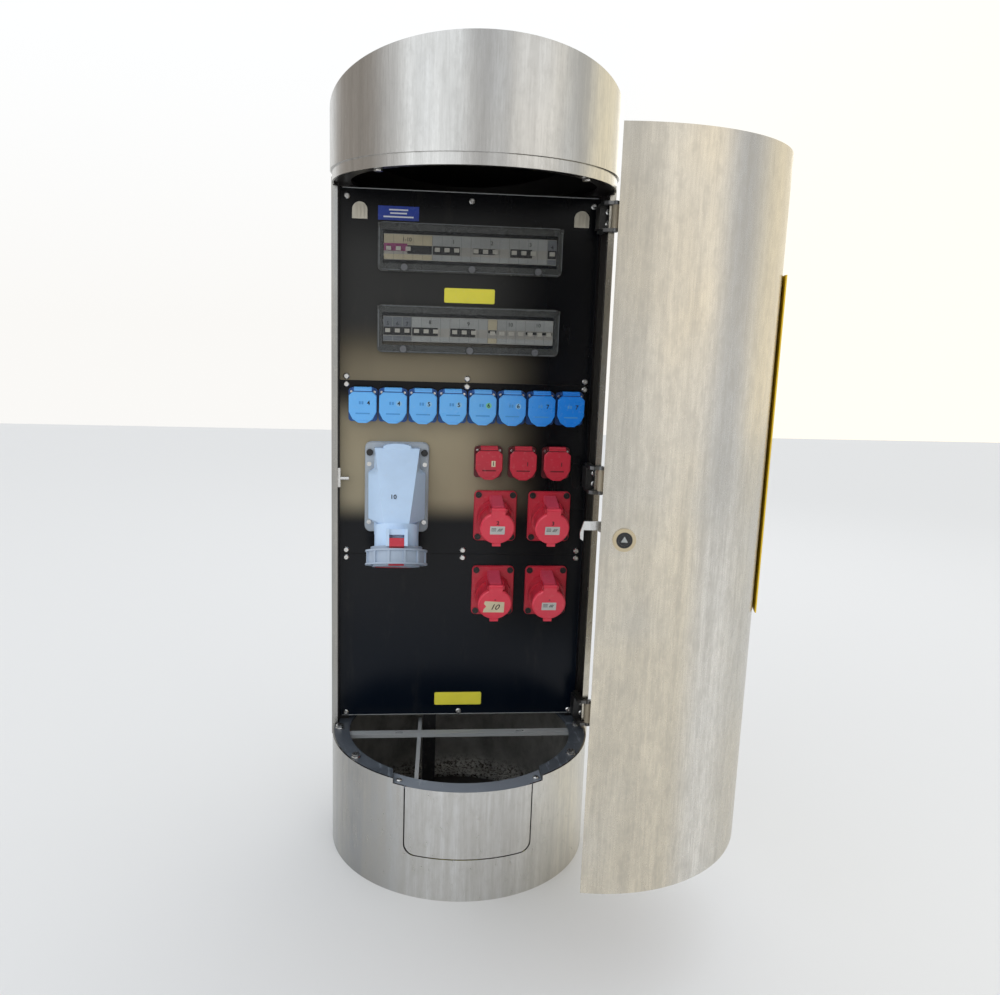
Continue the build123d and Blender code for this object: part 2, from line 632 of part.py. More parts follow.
def window_frame(z):
    """Bezel with two ears at its upper corners that carry the cover's pins."""
    frame = front_plate(window_plan(z), FRAME_FRONT, PANEL_Y)
    frame -= block(-WINDOW_OPENING_W / 2, WINDOW_OPENING_W / 2, FRAME_FRONT - 1, PANEL_Y + 1,
                   z - WINDOW_OPENING_H / 2, z + WINDOW_OPENING_H / 2)
    axis_z = cover_axis_z(z)
    for side in (-1, 1):
        x0 = side * (COVER_W / 2 + LID_GAP)
        x1 = side * (WINDOW_W / 2 - 0.2)
        ear = block(min(x0, x1), max(x0, x1), COVER_AXIS_Y - 3.5, FRAME_FRONT + 0.5,
                    axis_z - 4, axis_z + 2.5)
        frame += ear
        frame -= rod_x(COVER_AXIS_Y, axis_z, COVER_PIN_R + PIN_PLAY, min(x0, x1) - 1, max(x0, x1) + 1)
    for x in KNOB_X:
        frame -= rod_y(x, z - WINDOW_H / 2 + KNOB_RISE, KNOB_SHANK_R + 0.4, FRAME_FRONT - 1, PANEL_Y + 1)
    return frame


def window_cover(z):
    """A clear tray with pins at its upper corners and bosses for its quarter-turn knobs."""
    plan = Pos(0, z) * RectangleRounded(COVER_W, COVER_H, 7)
    inner = Pos(0, z) * RectangleRounded(COVER_W - 2 * COVER_T, COVER_H - 2 * COVER_T, 5)
    cover = front_plate(plan, COVER_FRONT, COVER_BACK)
    cover = chamfer(cover.faces().sort_by(Axis.Y)[-1].edges(), 1.0)
    cover = cover - front_plate(inner, COVER_FRONT + COVER_T, COVER_BACK + 1)
    axis_z = cover_axis_z(z)
    top = z + COVER_H / 2
    cover -= side_profile([(COVER_BACK + 1, top + 1), (COVER_BACK - 2.4, top + 1),
                           (COVER_BACK + 1, top - 2.4)], -COVER_W, COVER_W)
    reach = WINDOW_W / 2 - 1.0
    for side in (-1, 1):
        x0, x1 = side * (COVER_W / 2 - 4), side * reach
        cover += rod_x(COVER_AXIS_Y, axis_z, COVER_PIN_R, min(x0, x1), max(x0, x1))
    for x in KNOB_X:
        knob_z = z - WINDOW_H / 2 + KNOB_RISE
        cover += rod_y(x, knob_z, KNOB_SHANK_R + 2, COVER_FRONT + COVER_T / 2, COVER_BACK)
        cover -= rod_y(x, knob_z, KNOB_SHANK_R + PIN_PLAY, COVER_FRONT - 1, COVER_BACK + 1)
    return cover


def window_knob(x, z):
    knob_z = z - WINDOW_H / 2 + KNOB_RISE
    head = rod_y(x, knob_z, KNOB_R, COVER_FRONT - KNOB_H, COVER_FRONT)
    slot = block(x - KNOB_R - 1, x + KNOB_R + 1, COVER_FRONT - KNOB_H - 1, COVER_FRONT - KNOB_H + 1.2,
                 knob_z - 0.9, knob_z + 0.9)
    return head - slot + rod_y(x, knob_z, KNOB_SHANK_R, COVER_FRONT - 1, PANEL_Y - 2)


# Circuit breakers on their rails
def breaker(x0, poles, z):
    """One device: stepped body with a nose through the panel, a toggle for each pole."""
    half, nose = BREAKER_H / 2, NOSE_H / 2
    top = RAIL_Y
    outline = [(NOSE_Y, z - nose), (NOSE_Y, z + nose), (SHOULDER_Y, z + nose), (SHOULDER_Y, z + half),
               (top, z + half), (top, z + RAIL_H / 2), (top - 4, z + RAIL_H / 2),
               (top - 4, z - RAIL_H / 2), (top, z - RAIL_H / 2), (top, z - half),
               (SHOULDER_Y, z - half), (SHOULDER_Y, z - nose)]
    x1 = x0 + poles * MODULE_W
    body = side_profile(outline, x0 + 0.15, x1 - 0.15)
    for i in range(min(poles, TOGGLES_MOST)):
        x = x0 + (i + 0.5) * MODULE_W
        body += block(x - TOGGLE_W / 2, x + TOGGLE_W / 2, NOSE_Y - TOGGLE_OUT, NOSE_Y + 1,
                      z - TOGGLE_DROP - TOGGLE_H / 2, z - TOGGLE_DROP + TOGGLE_H / 2)
    return body


def breaker_row(poles, z):
    devices = []
    x = -sum(poles) * MODULE_W / 2
    for count in poles:
        devices.append(breaker(x, count, z))
        x += count * MODULE_W
    return devices


def make_rail(z):
    """A top-hat rail that the devices sit on, with a bracket to the panel at each end."""
    half, step = RAIL_H / 2, 5.0
    y0 = RAIL_Y - RAIL_T - 0.5
    profile = [(y0, z + half - 0.3), (y0 + RAIL_T, z + half - 0.3), (y0 + RAIL_T, z + half - step),
               (y0 + RAIL_DEPTH, z + half - step), (y0 + RAIL_DEPTH, z - half + step),
               (y0 + RAIL_T, z - half + step), (y0 + RAIL_T, z - half + 0.3), (y0, z - half + 0.3),
               (y0, z - half + step + RAIL_T), (y0 + RAIL_DEPTH - RAIL_T, z - half + step + RAIL_T),
               (y0 + RAIL_DEPTH - RAIL_T, z + half - step - RAIL_T), (y0, z + half - step - RAIL_T)]
    end = MODULES * MODULE_W / 2 + 16
    rail = side_profile(profile, -end, end)
    for side in (-1, 1):
        x0, x1 = side * (end - 12), side * end
        rail += block(min(x0, x1), max(x0, x1), PANEL_BACK, y0 + RAIL_T, z - 12, z + 12)
    return rail


# Small sockets: flange, collar, well and ears for the lid's pin
def small_collar_r(width):
    return width / 2 - 3.0


def small_body_r(width):
    """Body behind the panel."""
    return small_collar_r(width) - 1.0


def small_socket(x, z, width, height):
    flange_front = PANEL_Y - SOCKET_FLANGE_T
    collar_front = flange_front - SOCKET_COLLAR
    collar_r = small_collar_r(width)
    well_r = collar_r - SOCKET_WALL
    top = z + height / 2
    low = z - height / 2 + 1
    flange_w = width + SMALL_FLANGE_EXTRA
    flange_plan = Pos(x, (low + top + 6) / 2) * RectangleRounded(flange_w, top + 6 - low, 6)
    shape = front_plate(flange_plan, flange_front, PANEL_Y)
    for side in (-1, 1):
        shape += rod_y(x + side * (width / 2 - 4), top - 1, 3.4, flange_front - 1.8, flange_front + 1)
    shape += rod_y(x, z, collar_r, collar_front, flange_front + 1)
    shape += rod_y(x, z, small_body_r(width), PANEL_Y - 1, PANEL_BACK + SOCKET_BODY_L)
    shape -= rod_y(x, z, well_r, collar_front - 1, PANEL_Y + 2)
    for dx in (-9.5, 9.5):
        shape -= rod_y(x + dx, z, 2.4, PANEL_Y, PANEL_BACK + SOCKET_BODY_L - 6)
    axis_y, axis_z = socket_axis(z, height)
    for side in (-1, 1):
        x0 = x + side * (BARREL_L / 2 + LID_GAP)
        x1 = x + side * (BARREL_L / 2 + LID_GAP + EAR_T)
        shape += block(min(x0, x1), max(x0, x1), axis_y - 3, flange_front + 1, axis_z - 3, axis_z + 3)
        shape -= rod_x(axis_y, axis_z, LID_PIN_R + PIN_PLAY, min(x0, x1) - 1, max(x0, x1) + 1)
    return shape


def socket_axis(z, height):
    """Hinge axis of a small lid: y and z."""
    return PANEL_Y - SOCKET_FLANGE_T - SOCKET_COLLAR + BARREL_R - 1, z + height / 2 + BARREL_RISE


def small_lid(x, z, width, height):
    """Shield-shaped lid with a barrel, a pin through it and a finger tab."""
    back = PANEL_Y - SOCKET_FLANGE_T - SOCKET_COLLAR
    front = back - SOCKET_LID_T
    top = z + height / 2
    w, h = width / 2, height / 2
    half = [(w - 7.5, h), (w, h - 7), (w, -h * 0.3), (w * 0.74, -h * 0.76), (w * 0.34, -h)]
    points = half + [(-px, pz) for px, pz in reversed(half)]
    plan = Pos(x, z) * make_face(Polyline(*points, close=True))
    plan = fillet(plan.vertices(), 2.5)
    lid = front_plate(plan, front, back)
    lid = chamfer(lid.faces().sort_by(Axis.Y)[0].edges(), 1.2)
    lid = lid - rod_y(x, z, width / 2 - 9, back - 3, back + 1)
    lid += front_plate(Pos(x, z - h + 2) * Rectangle(15, 4), front - 1.5, front + 1)
    axis_y, axis_z = socket_axis(z, height)
    web_low = z + small_collar_r(width) + 0.5
    lid += side_profile([(front + 1, web_low), (front + 1, axis_z), (axis_y, axis_z), (back, web_low)],
                        x - BARREL_L / 2, x + BARREL_L / 2)
    lid += rod_x(axis_y, axis_z, BARREL_R, x - BARREL_L / 2, x + BARREL_L / 2)
    pin_half = BARREL_L / 2 + LID_GAP + EAR_T
    lid += rod_x(axis_y, axis_z, LID_PIN_R, x - pin_half, x + pin_half)
    return lid


def blue_x(i):
    return BLUE_X + (i - (BLUE_COUNT - 1) / 2) * BLUE_PITCH


def small_red_x(i):
    return SMALL_RED_X + (i - (SMALL_RED_COUNT - 1) / 2) * SMALL_RED_PITCH


# Large red sockets, turned down, with a round lid on a strap
def large_frame(x, z):
    """Local frame of an outlet: its origin on the flange, its +Z out along the outlet."""
    place = Pos(x, PANEL_Y - LARGE_FLANGE_T, z - LARGE_SAG)
    return place * Rot(90 + LARGE_TILT, 0, 0)


def large_hinge():
    """Hinge axis of a large lid in the outlet's own frame: height above the axis, and out."""
    return LARGE_COLLAR_R + 5.5, LARGE_OUT + 2.0


def large_socket(x, z):
    flange = front_plate(Pos(x, z) * RectangleRounded(LARGE_W, LARGE_H, LARGE_CORNER_R),
                         PANEL_Y - LARGE_FLANGE_T, PANEL_Y)
    flange = chamfer(flange.faces().sort_by(Axis.Y)[0].edges(), 1.5)
    frame = large_frame(x, z)
    collar = frame * Pos(0, 0, LARGE_OUT / 2 - 6) * Cylinder(LARGE_COLLAR_R, LARGE_OUT + 12)
    housing = frame * Pos(0, 0, 4) * Cylinder(LARGE_COLLAR_R + 4, 20)
    body = rod_y(x, z - LARGE_SAG, LARGE_COLLAR_R, PANEL_Y - 1, PANEL_BACK + 34)
    front_space = block(x - LARGE_W, x + LARGE_W, -BODY_R, PANEL_Y, z - LARGE_H, z + LARGE_H)
    shape = flange + ((collar + housing) & front_space) + body
    shape -= frame * Pos(0, 0, LARGE_OUT / 2 + 1) * Cylinder(LARGE_BORE_R, LARGE_OUT + 2)
    rise, out = large_hinge()
    for side in (-1, 1):
        x_mid = side * (STRAP_W / 2 + LID_GAP + EAR_T / 2)
        mouth = LARGE_OUT - LID_GAP
        ear = Pos(x_mid, rise - 5, mouth - 8) * Box(EAR_T, 18, 16)
        tip_low, tip_high = mouth - 3, out + LARGE_TIP
        tip = Pos(x_mid, rise, (tip_low + tip_high) / 2) * Box(EAR_T, 2 * LARGE_TIP, tip_high - tip_low)
        shape += frame * (ear + tip)
        hole = Pos(x_mid, rise, out) * Rot(0, 90, 0) * Cylinder(LID_PIN_R + PIN_PLAY, EAR_T + 2)
        shape -= frame * hole
    shape -= frame * Pos(0, 0, LARGE_OUT / 2 + 1) * Cylinder(LARGE_BORE_R, LARGE_OUT + 2)
    floor = frame * Pos(0, 0, 2) * Cylinder(LARGE_BORE_R + 1, 4)
    shape += floor
    for i in range(4):
        dx, dy = polar(16, 45 + 90 * i)
        shape += frame * Pos(dx, dy, 12) * Cylinder(3.2, 18)
    for x_hole, z_hole in large_screw_places(x, z):
        shape -= rod_y(x_hole, z_hole, SMALL_SCREW_R + HOLE_PLAY, PANEL_Y - 10, PANEL_Y + 1)
    return shape


def large_lid(x, z):
    """Round lid with a rim over the collar's mouth, a strap and a hinge barrel."""
    frame = large_frame(x, z)
    rise, out = large_hinge()
    disc = Pos(0, 0, LARGE_OUT + LARGE_LID_T / 2) * Cylinder(LARGE_LID_R, LARGE_LID_T)
    disc = chamfer(disc.edges().sort_by(Axis.Z)[-1], 2.0)
    strap = Pos(0, rise / 2 + 8, LARGE_OUT + LARGE_LID_T / 2 + 0.5) * Box(STRAP_W, rise - 14, LARGE_LID_T - 1)
    barrel = Pos(0, rise, out) * Rot(0, 90, 0) * Cylinder(BARREL_R, STRAP_W)
    web = Pos(0, rise - 2, out + 2) * Box(STRAP_W, 6, 5)
    pin_half = STRAP_W / 2 + LID_GAP + EAR_T
    pin = Pos(0, rise, out) * Rot(0, 90, 0) * Cylinder(LID_PIN_R, 2 * pin_half)
    tab = Pos(0, -LARGE_LID_R - 1.5, LARGE_OUT + LARGE_LID_T - 2.5) * Box(16, 6, 5)
    recess = Pos(0, 0, LARGE_OUT) * Cylinder(LARGE_BORE_R - 2, 5)
    return frame * (disc - recess + strap + web + barrel + pin + tab)


# Screws at the corners of the large flanges
SMALL_SCREW_R = 2.0
SMALL_HEAD_R = 4.2
LARGE_HEAD_R = 6.0


def large_screw_places(x, z):
    dx, dz = LARGE_W / 2 - 8, LARGE_H / 2 - 8
    return [(x + sx * dx, z + sz * dz) for sx in (-1, 1) for sz in (-1, 1)]


def outlet_screw_places():
    dx = OUTLET_W / 2 - 8
    rows = (OUTLET_HIGH - OUTLET_SCREW_DROP, OUTLET_LOW + OUTLET_SCREW_RISE)
    return [(OUTLET_X + side * dx, z) for side in (-1, 1) for z in rows]


def flange_screw(x, z, seat, head_r):
    head = rod_y(x, z, head_r, seat - 2.2, seat)
    head -= Pos(x, seat - 2.2, z) * Rot(90, 0, 0) * extrude(
        RegularPolygon(1.5, 6, major_radius=False), amount=-1.2)
    return head + rod_y(x, z, SMALL_SCREW_R, seat - 0.5, PANEL_Y + PANEL_T + 4)


def make_socket_screws():
    screws = []
    for x in LARGE_X:
        for z in LARGE_Z:
            for sx, sz in large_screw_places(x, z):
                screws.append(flange_screw(sx, sz, PANEL_Y - LARGE_FLANGE_T, LARGE_HEAD_R))
    for sx, sz in outlet_screw_places():
        screws.append(flange_screw(sx, sz, PANEL_Y - OUTLET_FLANGE_T, SMALL_HEAD_R))
    return screws


# Big grey outlet
def outlet_frame():
    """Local frame at the outlet's mouth: +Z along the outlet, down and forward, +Y towards the back."""
    return Pos(OUTLET_X, OUTLET_Y, OUTLET_MOUTH_Z) * Rot(180 - OUTLET_TILT, 0, 0) * Rot(0, 0, 180)


def hood_section(z, wide, flat, front, middle):
    """Level outline of the hood: a flat front between two slanting cheeks."""
    back = PANEL_Y - OUTLET_FLANGE_T + 1
    half = [(wide, back), (wide, middle), (flat, front)]
    points = [(OUTLET_X + x, y) for x, y in half]
    points += [(OUTLET_X - x, y) for x, y in reversed(half)]
    return Pos(0, 0, z) * make_face(Polyline(*points, close=True))


def make_outlet_socket():
    front = PANEL_Y - OUTLET_FLANGE_T
    middle = (OUTLET_LOW + OUTLET_HIGH) / 2
    plan = Pos(OUTLET_X, middle) * RectangleRounded(OUTLET_W, OUTLET_HIGH - OUTLET_LOW, 12)
    shape = front_plate(plan, front, PANEL_Y)
    shape = chamfer(shape.faces().sort_by(Axis.Y)[0].edges(), 2.0)
    tip = OUTLET_Y - NECK_R * cos(radians(OUTLET_TILT)) + 2
    top_z, low_z = OUTLET_HIGH - 10, OUTLET_MOUTH_Z + 16
    screw_top, screw_low = OUTLET_HIGH - OUTLET_SCREW_DROP, OUTLET_LOW + OUTLET_SCREW_RISE
    wide, narrow, nose = OUTLET_HOOD_W / 2, OUTLET_HOOD_TOP_W / 2, OUTLET_NOSE_W / 2
    levels = [(top_z, narrow), (screw_top - 7, narrow + 0.5), (screw_top - 14, wide),
              (screw_low + 15, wide - 1), (screw_low + 8, narrow), (low_z, narrow - 1)]
    sections = []
    for z, half in levels:
        t = (top_z - z) / (top_z - low_z)
        flat = narrow - 0.5 + (nose - narrow) * t
        face_y = front - 16 + (tip - front + 16) * t
        sections.append(hood_section(z, half, min(flat, half - 0.5), face_y, front - 4 - 42 * t))
    for one, two in zip(sections, sections[1:]):
        shape += loft([one, two], ruled=True)
    for side in (-1, 1):
        shape += rod_y(OUTLET_X + side * OUTLET_CAP_DX, OUTLET_HIGH - OUTLET_CAP_DROP, 6.3,
                       front - 3, front + 1)
    cap = Pos(OUTLET_X, front - 8, top_z + 2) * Rot(90, 0, 0) * extrude(Ellipse(26, 7), amount=9, both=True)
    shape += cap
    frame = outlet_frame()
    shape += frame * Pos(0, 0, -(NECK_L + 14) / 2) * Cylinder(NECK_R, NECK_L + 14)
    shape -= frame * Pos(0, 0, -13) * Cylinder(NECK_BORE_R, 30)
    for i in range(5):
        dx, dy = polar(18, 90 + 72 * i)
        shape += frame * Pos(dx, dy, -17) * Cylinder(5.0, 24)
    rise, yoke_x = OUTLET_LID_R + HINGE_CLEAR, STRAP_W / 2 + LID_GAP + YOKE_T / 2
    for side in (-1, 1):
        post = Pos(side * yoke_x, -rise + 9, -YOKE_H / 2 - LID_GAP) * Box(YOKE_T, 26, YOKE_H)
        post += Pos(side * yoke_x, -rise - 0.2, -2.5) * Box(YOKE_T, 8.4, 9)
        hole = Pos(side * yoke_x, -rise, -2) * Rot(0, 90, 0) * Cylinder(LID_PIN_R + PIN_PLAY, YOKE_T + 2)
        shape += frame * post
        shape -= frame * hole
    bridge = Pos(0, -rise + 7, -YOKE_H + 5) * Box(STRAP_W + 2, 14, 10)
    shape += frame * bridge
    shape -= frame * Pos(0, 0, -13) * Cylinder(NECK_BORE_R, 30) - frame * Pos(0, 0, -20) * Cylinder(
        NECK_BORE_R + 1, 17)
    for x, z in outlet_screw_places():
        shape -= rod_y(x, z, SMALL_SCREW_R + HOLE_PLAY, front - 5, PANEL_Y + 1)
    return shape


def make_outlet_lid():
    frame = outlet_frame()
    rise = OUTLET_LID_R + HINGE_CLEAR
    cup = Pos(0, 0, OUTLET_LID_T / 2) * Cylinder(OUTLET_LID_R, OUTLET_LID_T)
    cup = chamfer(cup.edges().sort_by(Axis.Z)[-1], 2.0)
    cup = cup - Pos(0, 0, OUTLET_LID_T / 2 - 4) * Cylinder(NECK_BORE_R, OUTLET_LID_T)
    rim = Pos(0, 0, OUTLET_LID_T + 7) * Cylinder(OUTLET_LID_R - 4, 18)
    hinge_block = Pos(0, -rise, -4.5) * Box(STRAP_W, 9, 15)
    pin_half = STRAP_W / 2 + LID_GAP + YOKE_T
    pin = Pos(0, -rise, -2) * Rot(0, 90, 0) * Cylinder(LID_PIN_R, 2 * pin_half)
    strap = Pos(0, -OUTLET_LID_R - 1, 1.5) * Box(STRAP_W, 12, 3)
    return frame * (cup + rim + strap + hinge_block + pin)


def make_outlet_ring():
    """Ribbed locking ring that turns on the lid."""
    frame = outlet_frame()
    low = 6.0
    mid = low + LOCK_RING_H / 2
    body = Pos(0, 0, mid) * Cylinder(LOCK_RING_R - RIB_OUT, LOCK_RING_H)
    for z in (low + LOCK_RING_EDGE / 2, low + LOCK_RING_H - LOCK_RING_EDGE / 2):
        body += Pos(0, 0, z) * Cylinder(LOCK_RING_R, LOCK_RING_EDGE)
    for i in range(RIB_COUNT):
        rib = Pos(LOCK_RING_R - RIB_OUT - 1, 0, mid) * Box(2 * RIB_OUT, RIB_W, LOCK_RING_H)
        body += Rot(0, 0, 360 * (i + 0.5) / RIB_COUNT) * rib
    body -= Pos(0, 0, low + LOCK_RING_H / 2) * Cylinder(OUTLET_LID_R + 0.3, LOCK_RING_H + 2)
    return frame * body


# Lock on the door, its turning core and hook, and the keeper on the frame
def lock_frame(depth):
    """Closed door: a frame at the lock with +Z into the cabinet, +X to the closing edge, +Y up."""
    x, y = polar(BODY_R - depth, LOCK_ANGLE)
    inward = Vector(-cos(radians(LOCK_ANGLE)), -sin(radians(LOCK_ANGLE)), 0)
    along = Vector(sin(radians(LOCK_ANGLE)), -cos(radians(LOCK_ANGLE)), 0)
    return Plane(origin=(x, y, LOCK_Z), x_dir=along, z_dir=inward)


HOOK_OUTER_GAP = HOOK_DEPTH - HOOK_T / 2


def make_lock_body():
    plane = lock_frame(0)
    rosette = plane * Pos(0, 0, (1 - ROSETTE_T) / 2) * Cylinder(ROSETTE_R, ROSETTE_T + 1)
    body = plane * Pos(0, 0, HOOK_OUTER_GAP / 2) * Cylinder(LOCK_BODY_R, HOOK_OUTER_GAP)
    nut = plane * Pos(0, 0, SHEET) * extrude(RegularPolygon(LOCK_BODY_R + 4, 6), amount=5.2)
    shape = rosette - rod_z(0, 0, BODY_R + 0.02, LOCK_Z - 40, LOCK_Z + 40)
    shape = shape + body + (nut & rod_z(0, 0, INNER_R - 0.02, LOCK_Z - 40, LOCK_Z + 40))
    core_hole = plane * Cylinder(LOCK_CORE_R + PIN_PLAY, 200)
    return shape - core_hole


def make_lock_core():
    plane = lock_frame(0)
    length = HOOK_OUTER_GAP + ROSETTE_T
    core = plane * Pos(0, 0, length / 2 - ROSETTE_T) * Cylinder(LOCK_CORE_R, length)
    square = plane * Pos(0, 0, HOOK_OUTER_GAP + (HOOK_T + 2) / 2) * Box(KEY_SIDE, KEY_SIDE, HOOK_T + 2)
    key = plane * Pos(0, 0, -ROSETTE_T - 1) * extrude(RegularPolygon(4.6, 3), amount=5)
    return core + square - key


def make_latch_hook():
    plane = lock_frame(HOOK_DEPTH - HOOK_T / 2)
    outline = [(-2, -9), (34, 7), (50.8, 7), (50.8, -8), (54.8, -5), (55.4, 3), (50.5, 19), (-2, 19)]
    face = make_face(Polyline(*outline, close=True)) + Circle(11)
    face -= Rectangle(KEY_SIDE, KEY_SIDE)
    return plane * extrude(face, amount=HOOK_T)


def keeper_pin_place():
    origin = lock_frame(HOOK_DEPTH).origin
    along = lock_frame(HOOK_DEPTH).x_dir
    return origin.Y + PIN_ALONG * along.Y, LOCK_Z - PIN_BELOW


def make_keeper():
    """Angle bracket on the left upright with a pin that the hook drops over."""
    y, z = keeper_pin_place()
    z0, z1 = z - 16, z + 20
    wall = -WEB_X
    wing = block(wall - LIP_W, wall + KEEPER_T, LIP_Y - KEEPER_T, LIP_Y, z0, z1)
    plate = block(wall, wall + KEEPER_T, LIP_Y - KEEPER_T, PANEL_Y - 0.5, z0, z1)
    pin = rod_x(y, z, PIN_R, wall, wall + 18)
    heads = [rod_y(wall - LIP_W / 2, z + dz, 3.4, LIP_Y - KEEPER_T - 1.8, LIP_Y - KEEPER_T + 1)
             for dz in (-10, 14)]
    return wing + plate + pin + heads[0] + heads[1]


# Hinges
BLOCK_FRONT = -6.0
BLOCK_LEFT = BODY_R - 26.0
BLOCK_RIGHT = BODY_R - 7.0
HINGE_SCREW_X = BODY_R - 10.0
ARM_INNER = BODY_R - 23.0
ARM_OUTER = BODY_R - 13.5


def make_hinge_blocks():
    blocks = []
    for z in HINGE_Z:
        shape = block(BLOCK_LEFT, BLOCK_RIGHT, BLOCK_FRONT, LIP_Y, z - BLOCK_HALF, z + BLOCK_HALF)
        for rise in (-BLOCK_HALF / 2, BLOCK_HALF / 2):
            shape -= rod_y(HINGE_SCREW_X, z + rise, SCREW_R + HOLE_PLAY, BLOCK_FRONT - 1, LIP_Y + 1)
        blocks.append(shape)
    return blocks


def hinge_arm(z0, z1):
    """Gooseneck plate from the block around the jamb's turned-in edge to the hinge axis."""
    front = PIVOT_Y - 3.5
    back = PIVOT_Y + 5.3
    neck = [(ARM_INNER, LIP_Y - 4), (ARM_OUTER, LIP_Y - 4), (ARM_OUTER, back), (PIVOT_X, back),
            (PIVOT_X, front), (ARM_INNER + 6, front), (ARM_INNER, front + 6)]
    arm = plan_plate(neck, z0, z1) + rod_z(PIVOT_X, PIVOT_Y, KNUCKLE_R, z0, z1)
    return arm - rod_z(PIVOT_X, PIVOT_Y, HINGE_PIN_R, z0 - 1, z1 + 1)


def make_hinge_arms():
    arms = []
    for z in HINGE_Z:
        arms.append(hinge_arm(z + BLOCK_HALF, z + BLOCK_HALF + ARM_T))
        arms.append(hinge_arm(z - BLOCK_HALF - ARM_T, z - BLOCK_HALF))
    return arms


def make_hinge_pins():
    reach = BLOCK_HALF + ARM_T
    return [rod_z(PIVOT_X, PIVOT_Y, HINGE_PIN_R, z - reach - 1, z + reach + 1) for z in HINGE_Z]


def make_hinge_leaves():
    """Knuckles between the arms, welded to the door's turned-in edge."""
    leaves = []
    turn = degrees(2.5 / BODY_R)
    for z in HINGE_Z:
        z0, z1 = z - BLOCK_HALF + LID_GAP, z + BLOCK_HALF - LID_GAP
        leaf = sector(INNER_R - DOOR_FLANGE, BODY_R - 0.5, DOOR_RIGHT, DOOR_RIGHT + turn, z0, z1)
        leaf += rod_z(PIVOT_X, PIVOT_Y, KNUCKLE_R, z0, z1)
        leaf -= rod_z(PIVOT_X, PIVOT_Y, HINGE_PIN_R + PIN_PLAY, z0 - 1, z1 + 1)
        leaves.append(swing(leaf))
    return leaves


# Door
def make_door_shell():
    door = sector(INNER_R, BODY_R, DOOR_LEFT, 360 + DOOR_RIGHT, SHELL_LOW, SHELL_HIGH)
    turn = degrees(SHEET / BODY_R)
    door += sector(INNER_R - DOOR_FLANGE, INNER_R + 0.5, DOOR_RIGHT - turn, DOOR_RIGHT,
                   BASE_H + 3, RIM_LOW - 3)
    door -= lock_frame(0) * Cylinder(LOCK_BODY_R + HOLE_PLAY, 60)
    return swing(door)


def make_yellow_plate():
    """Flat plate on the outside, tangent to the middle of the door."""
    middle = (DOOR_LEFT + 360 + DOOR_RIGHT) / 2
    plate = block(BODY_R, BODY_R + YELLOW_T, -YELLOW_W / 2, YELLOW_W / 2, YELLOW_LOW, YELLOW_HIGH)
    return swing(Rot(0, 0, middle) * plate)


def make_clip(x):
    """Arched plate with three upright ribs."""
    low, half = CLIP_LOW, CLIP_W / 2
    plan = Pos(x, low + (CLIP_H - half) / 2) * Rectangle(CLIP_W, CLIP_H - half)
    plan += Pos(x, low + CLIP_H - half) * Circle(half)
    plan -= Pos(x, low - half) * Rectangle(CLIP_W * 2, CLIP_W)
    clip = front_plate(plan, PANEL_Y - CLIP_T, PANEL_Y)
    for dx in (-6.5, 0, 6.5):
        clip += block(x + dx - 1.2, x + dx + 1.2, PANEL_Y - CLIP_T - 1.6, PANEL_Y - CLIP_T + 1,
                      low + 3, low + CLIP_H - 6)
    return clip


# Cut-outs of the panels
def window_slots():
    return [block(-SLOT_W / 2, SLOT_W / 2, PANEL_Y - 1, PANEL_BACK + 1, z - SLOT_H / 2, z + SLOT_H / 2)
            for z in (WINDOW_HIGH_Z, WINDOW_LOW_Z)]


def socket_hole(x, z, r):
    return rod_y(x, z, r, PANEL_Y - 1, PANEL_BACK + 1)


def small_holes():
    holes = [socket_hole(blue_x(i), BLUE_Z, BLUE_W / 2 - 3.8) for i in range(BLUE_COUNT)]
    holes += [socket_hole(small_red_x(i), SMALL_RED_Z, SMALL_RED_W / 2 - 3.8)
              for i in range(SMALL_RED_COUNT)]
    return holes


def large_holes(z):
    holes = [socket_hole(x, z - LARGE_SAG, LARGE_COLLAR_R + 0.3) for x in LARGE_X]
    for x in LARGE_X:
        for sx, sz in large_screw_places(x, z):
            holes.append(socket_hole(sx, sz, SMALL_SCREW_R + HOLE_PLAY))
    return holes


def outlet_holes():
    return [socket_hole(x, z, SMALL_SCREW_R + HOLE_PLAY) for x, z in outlet_screw_places()]


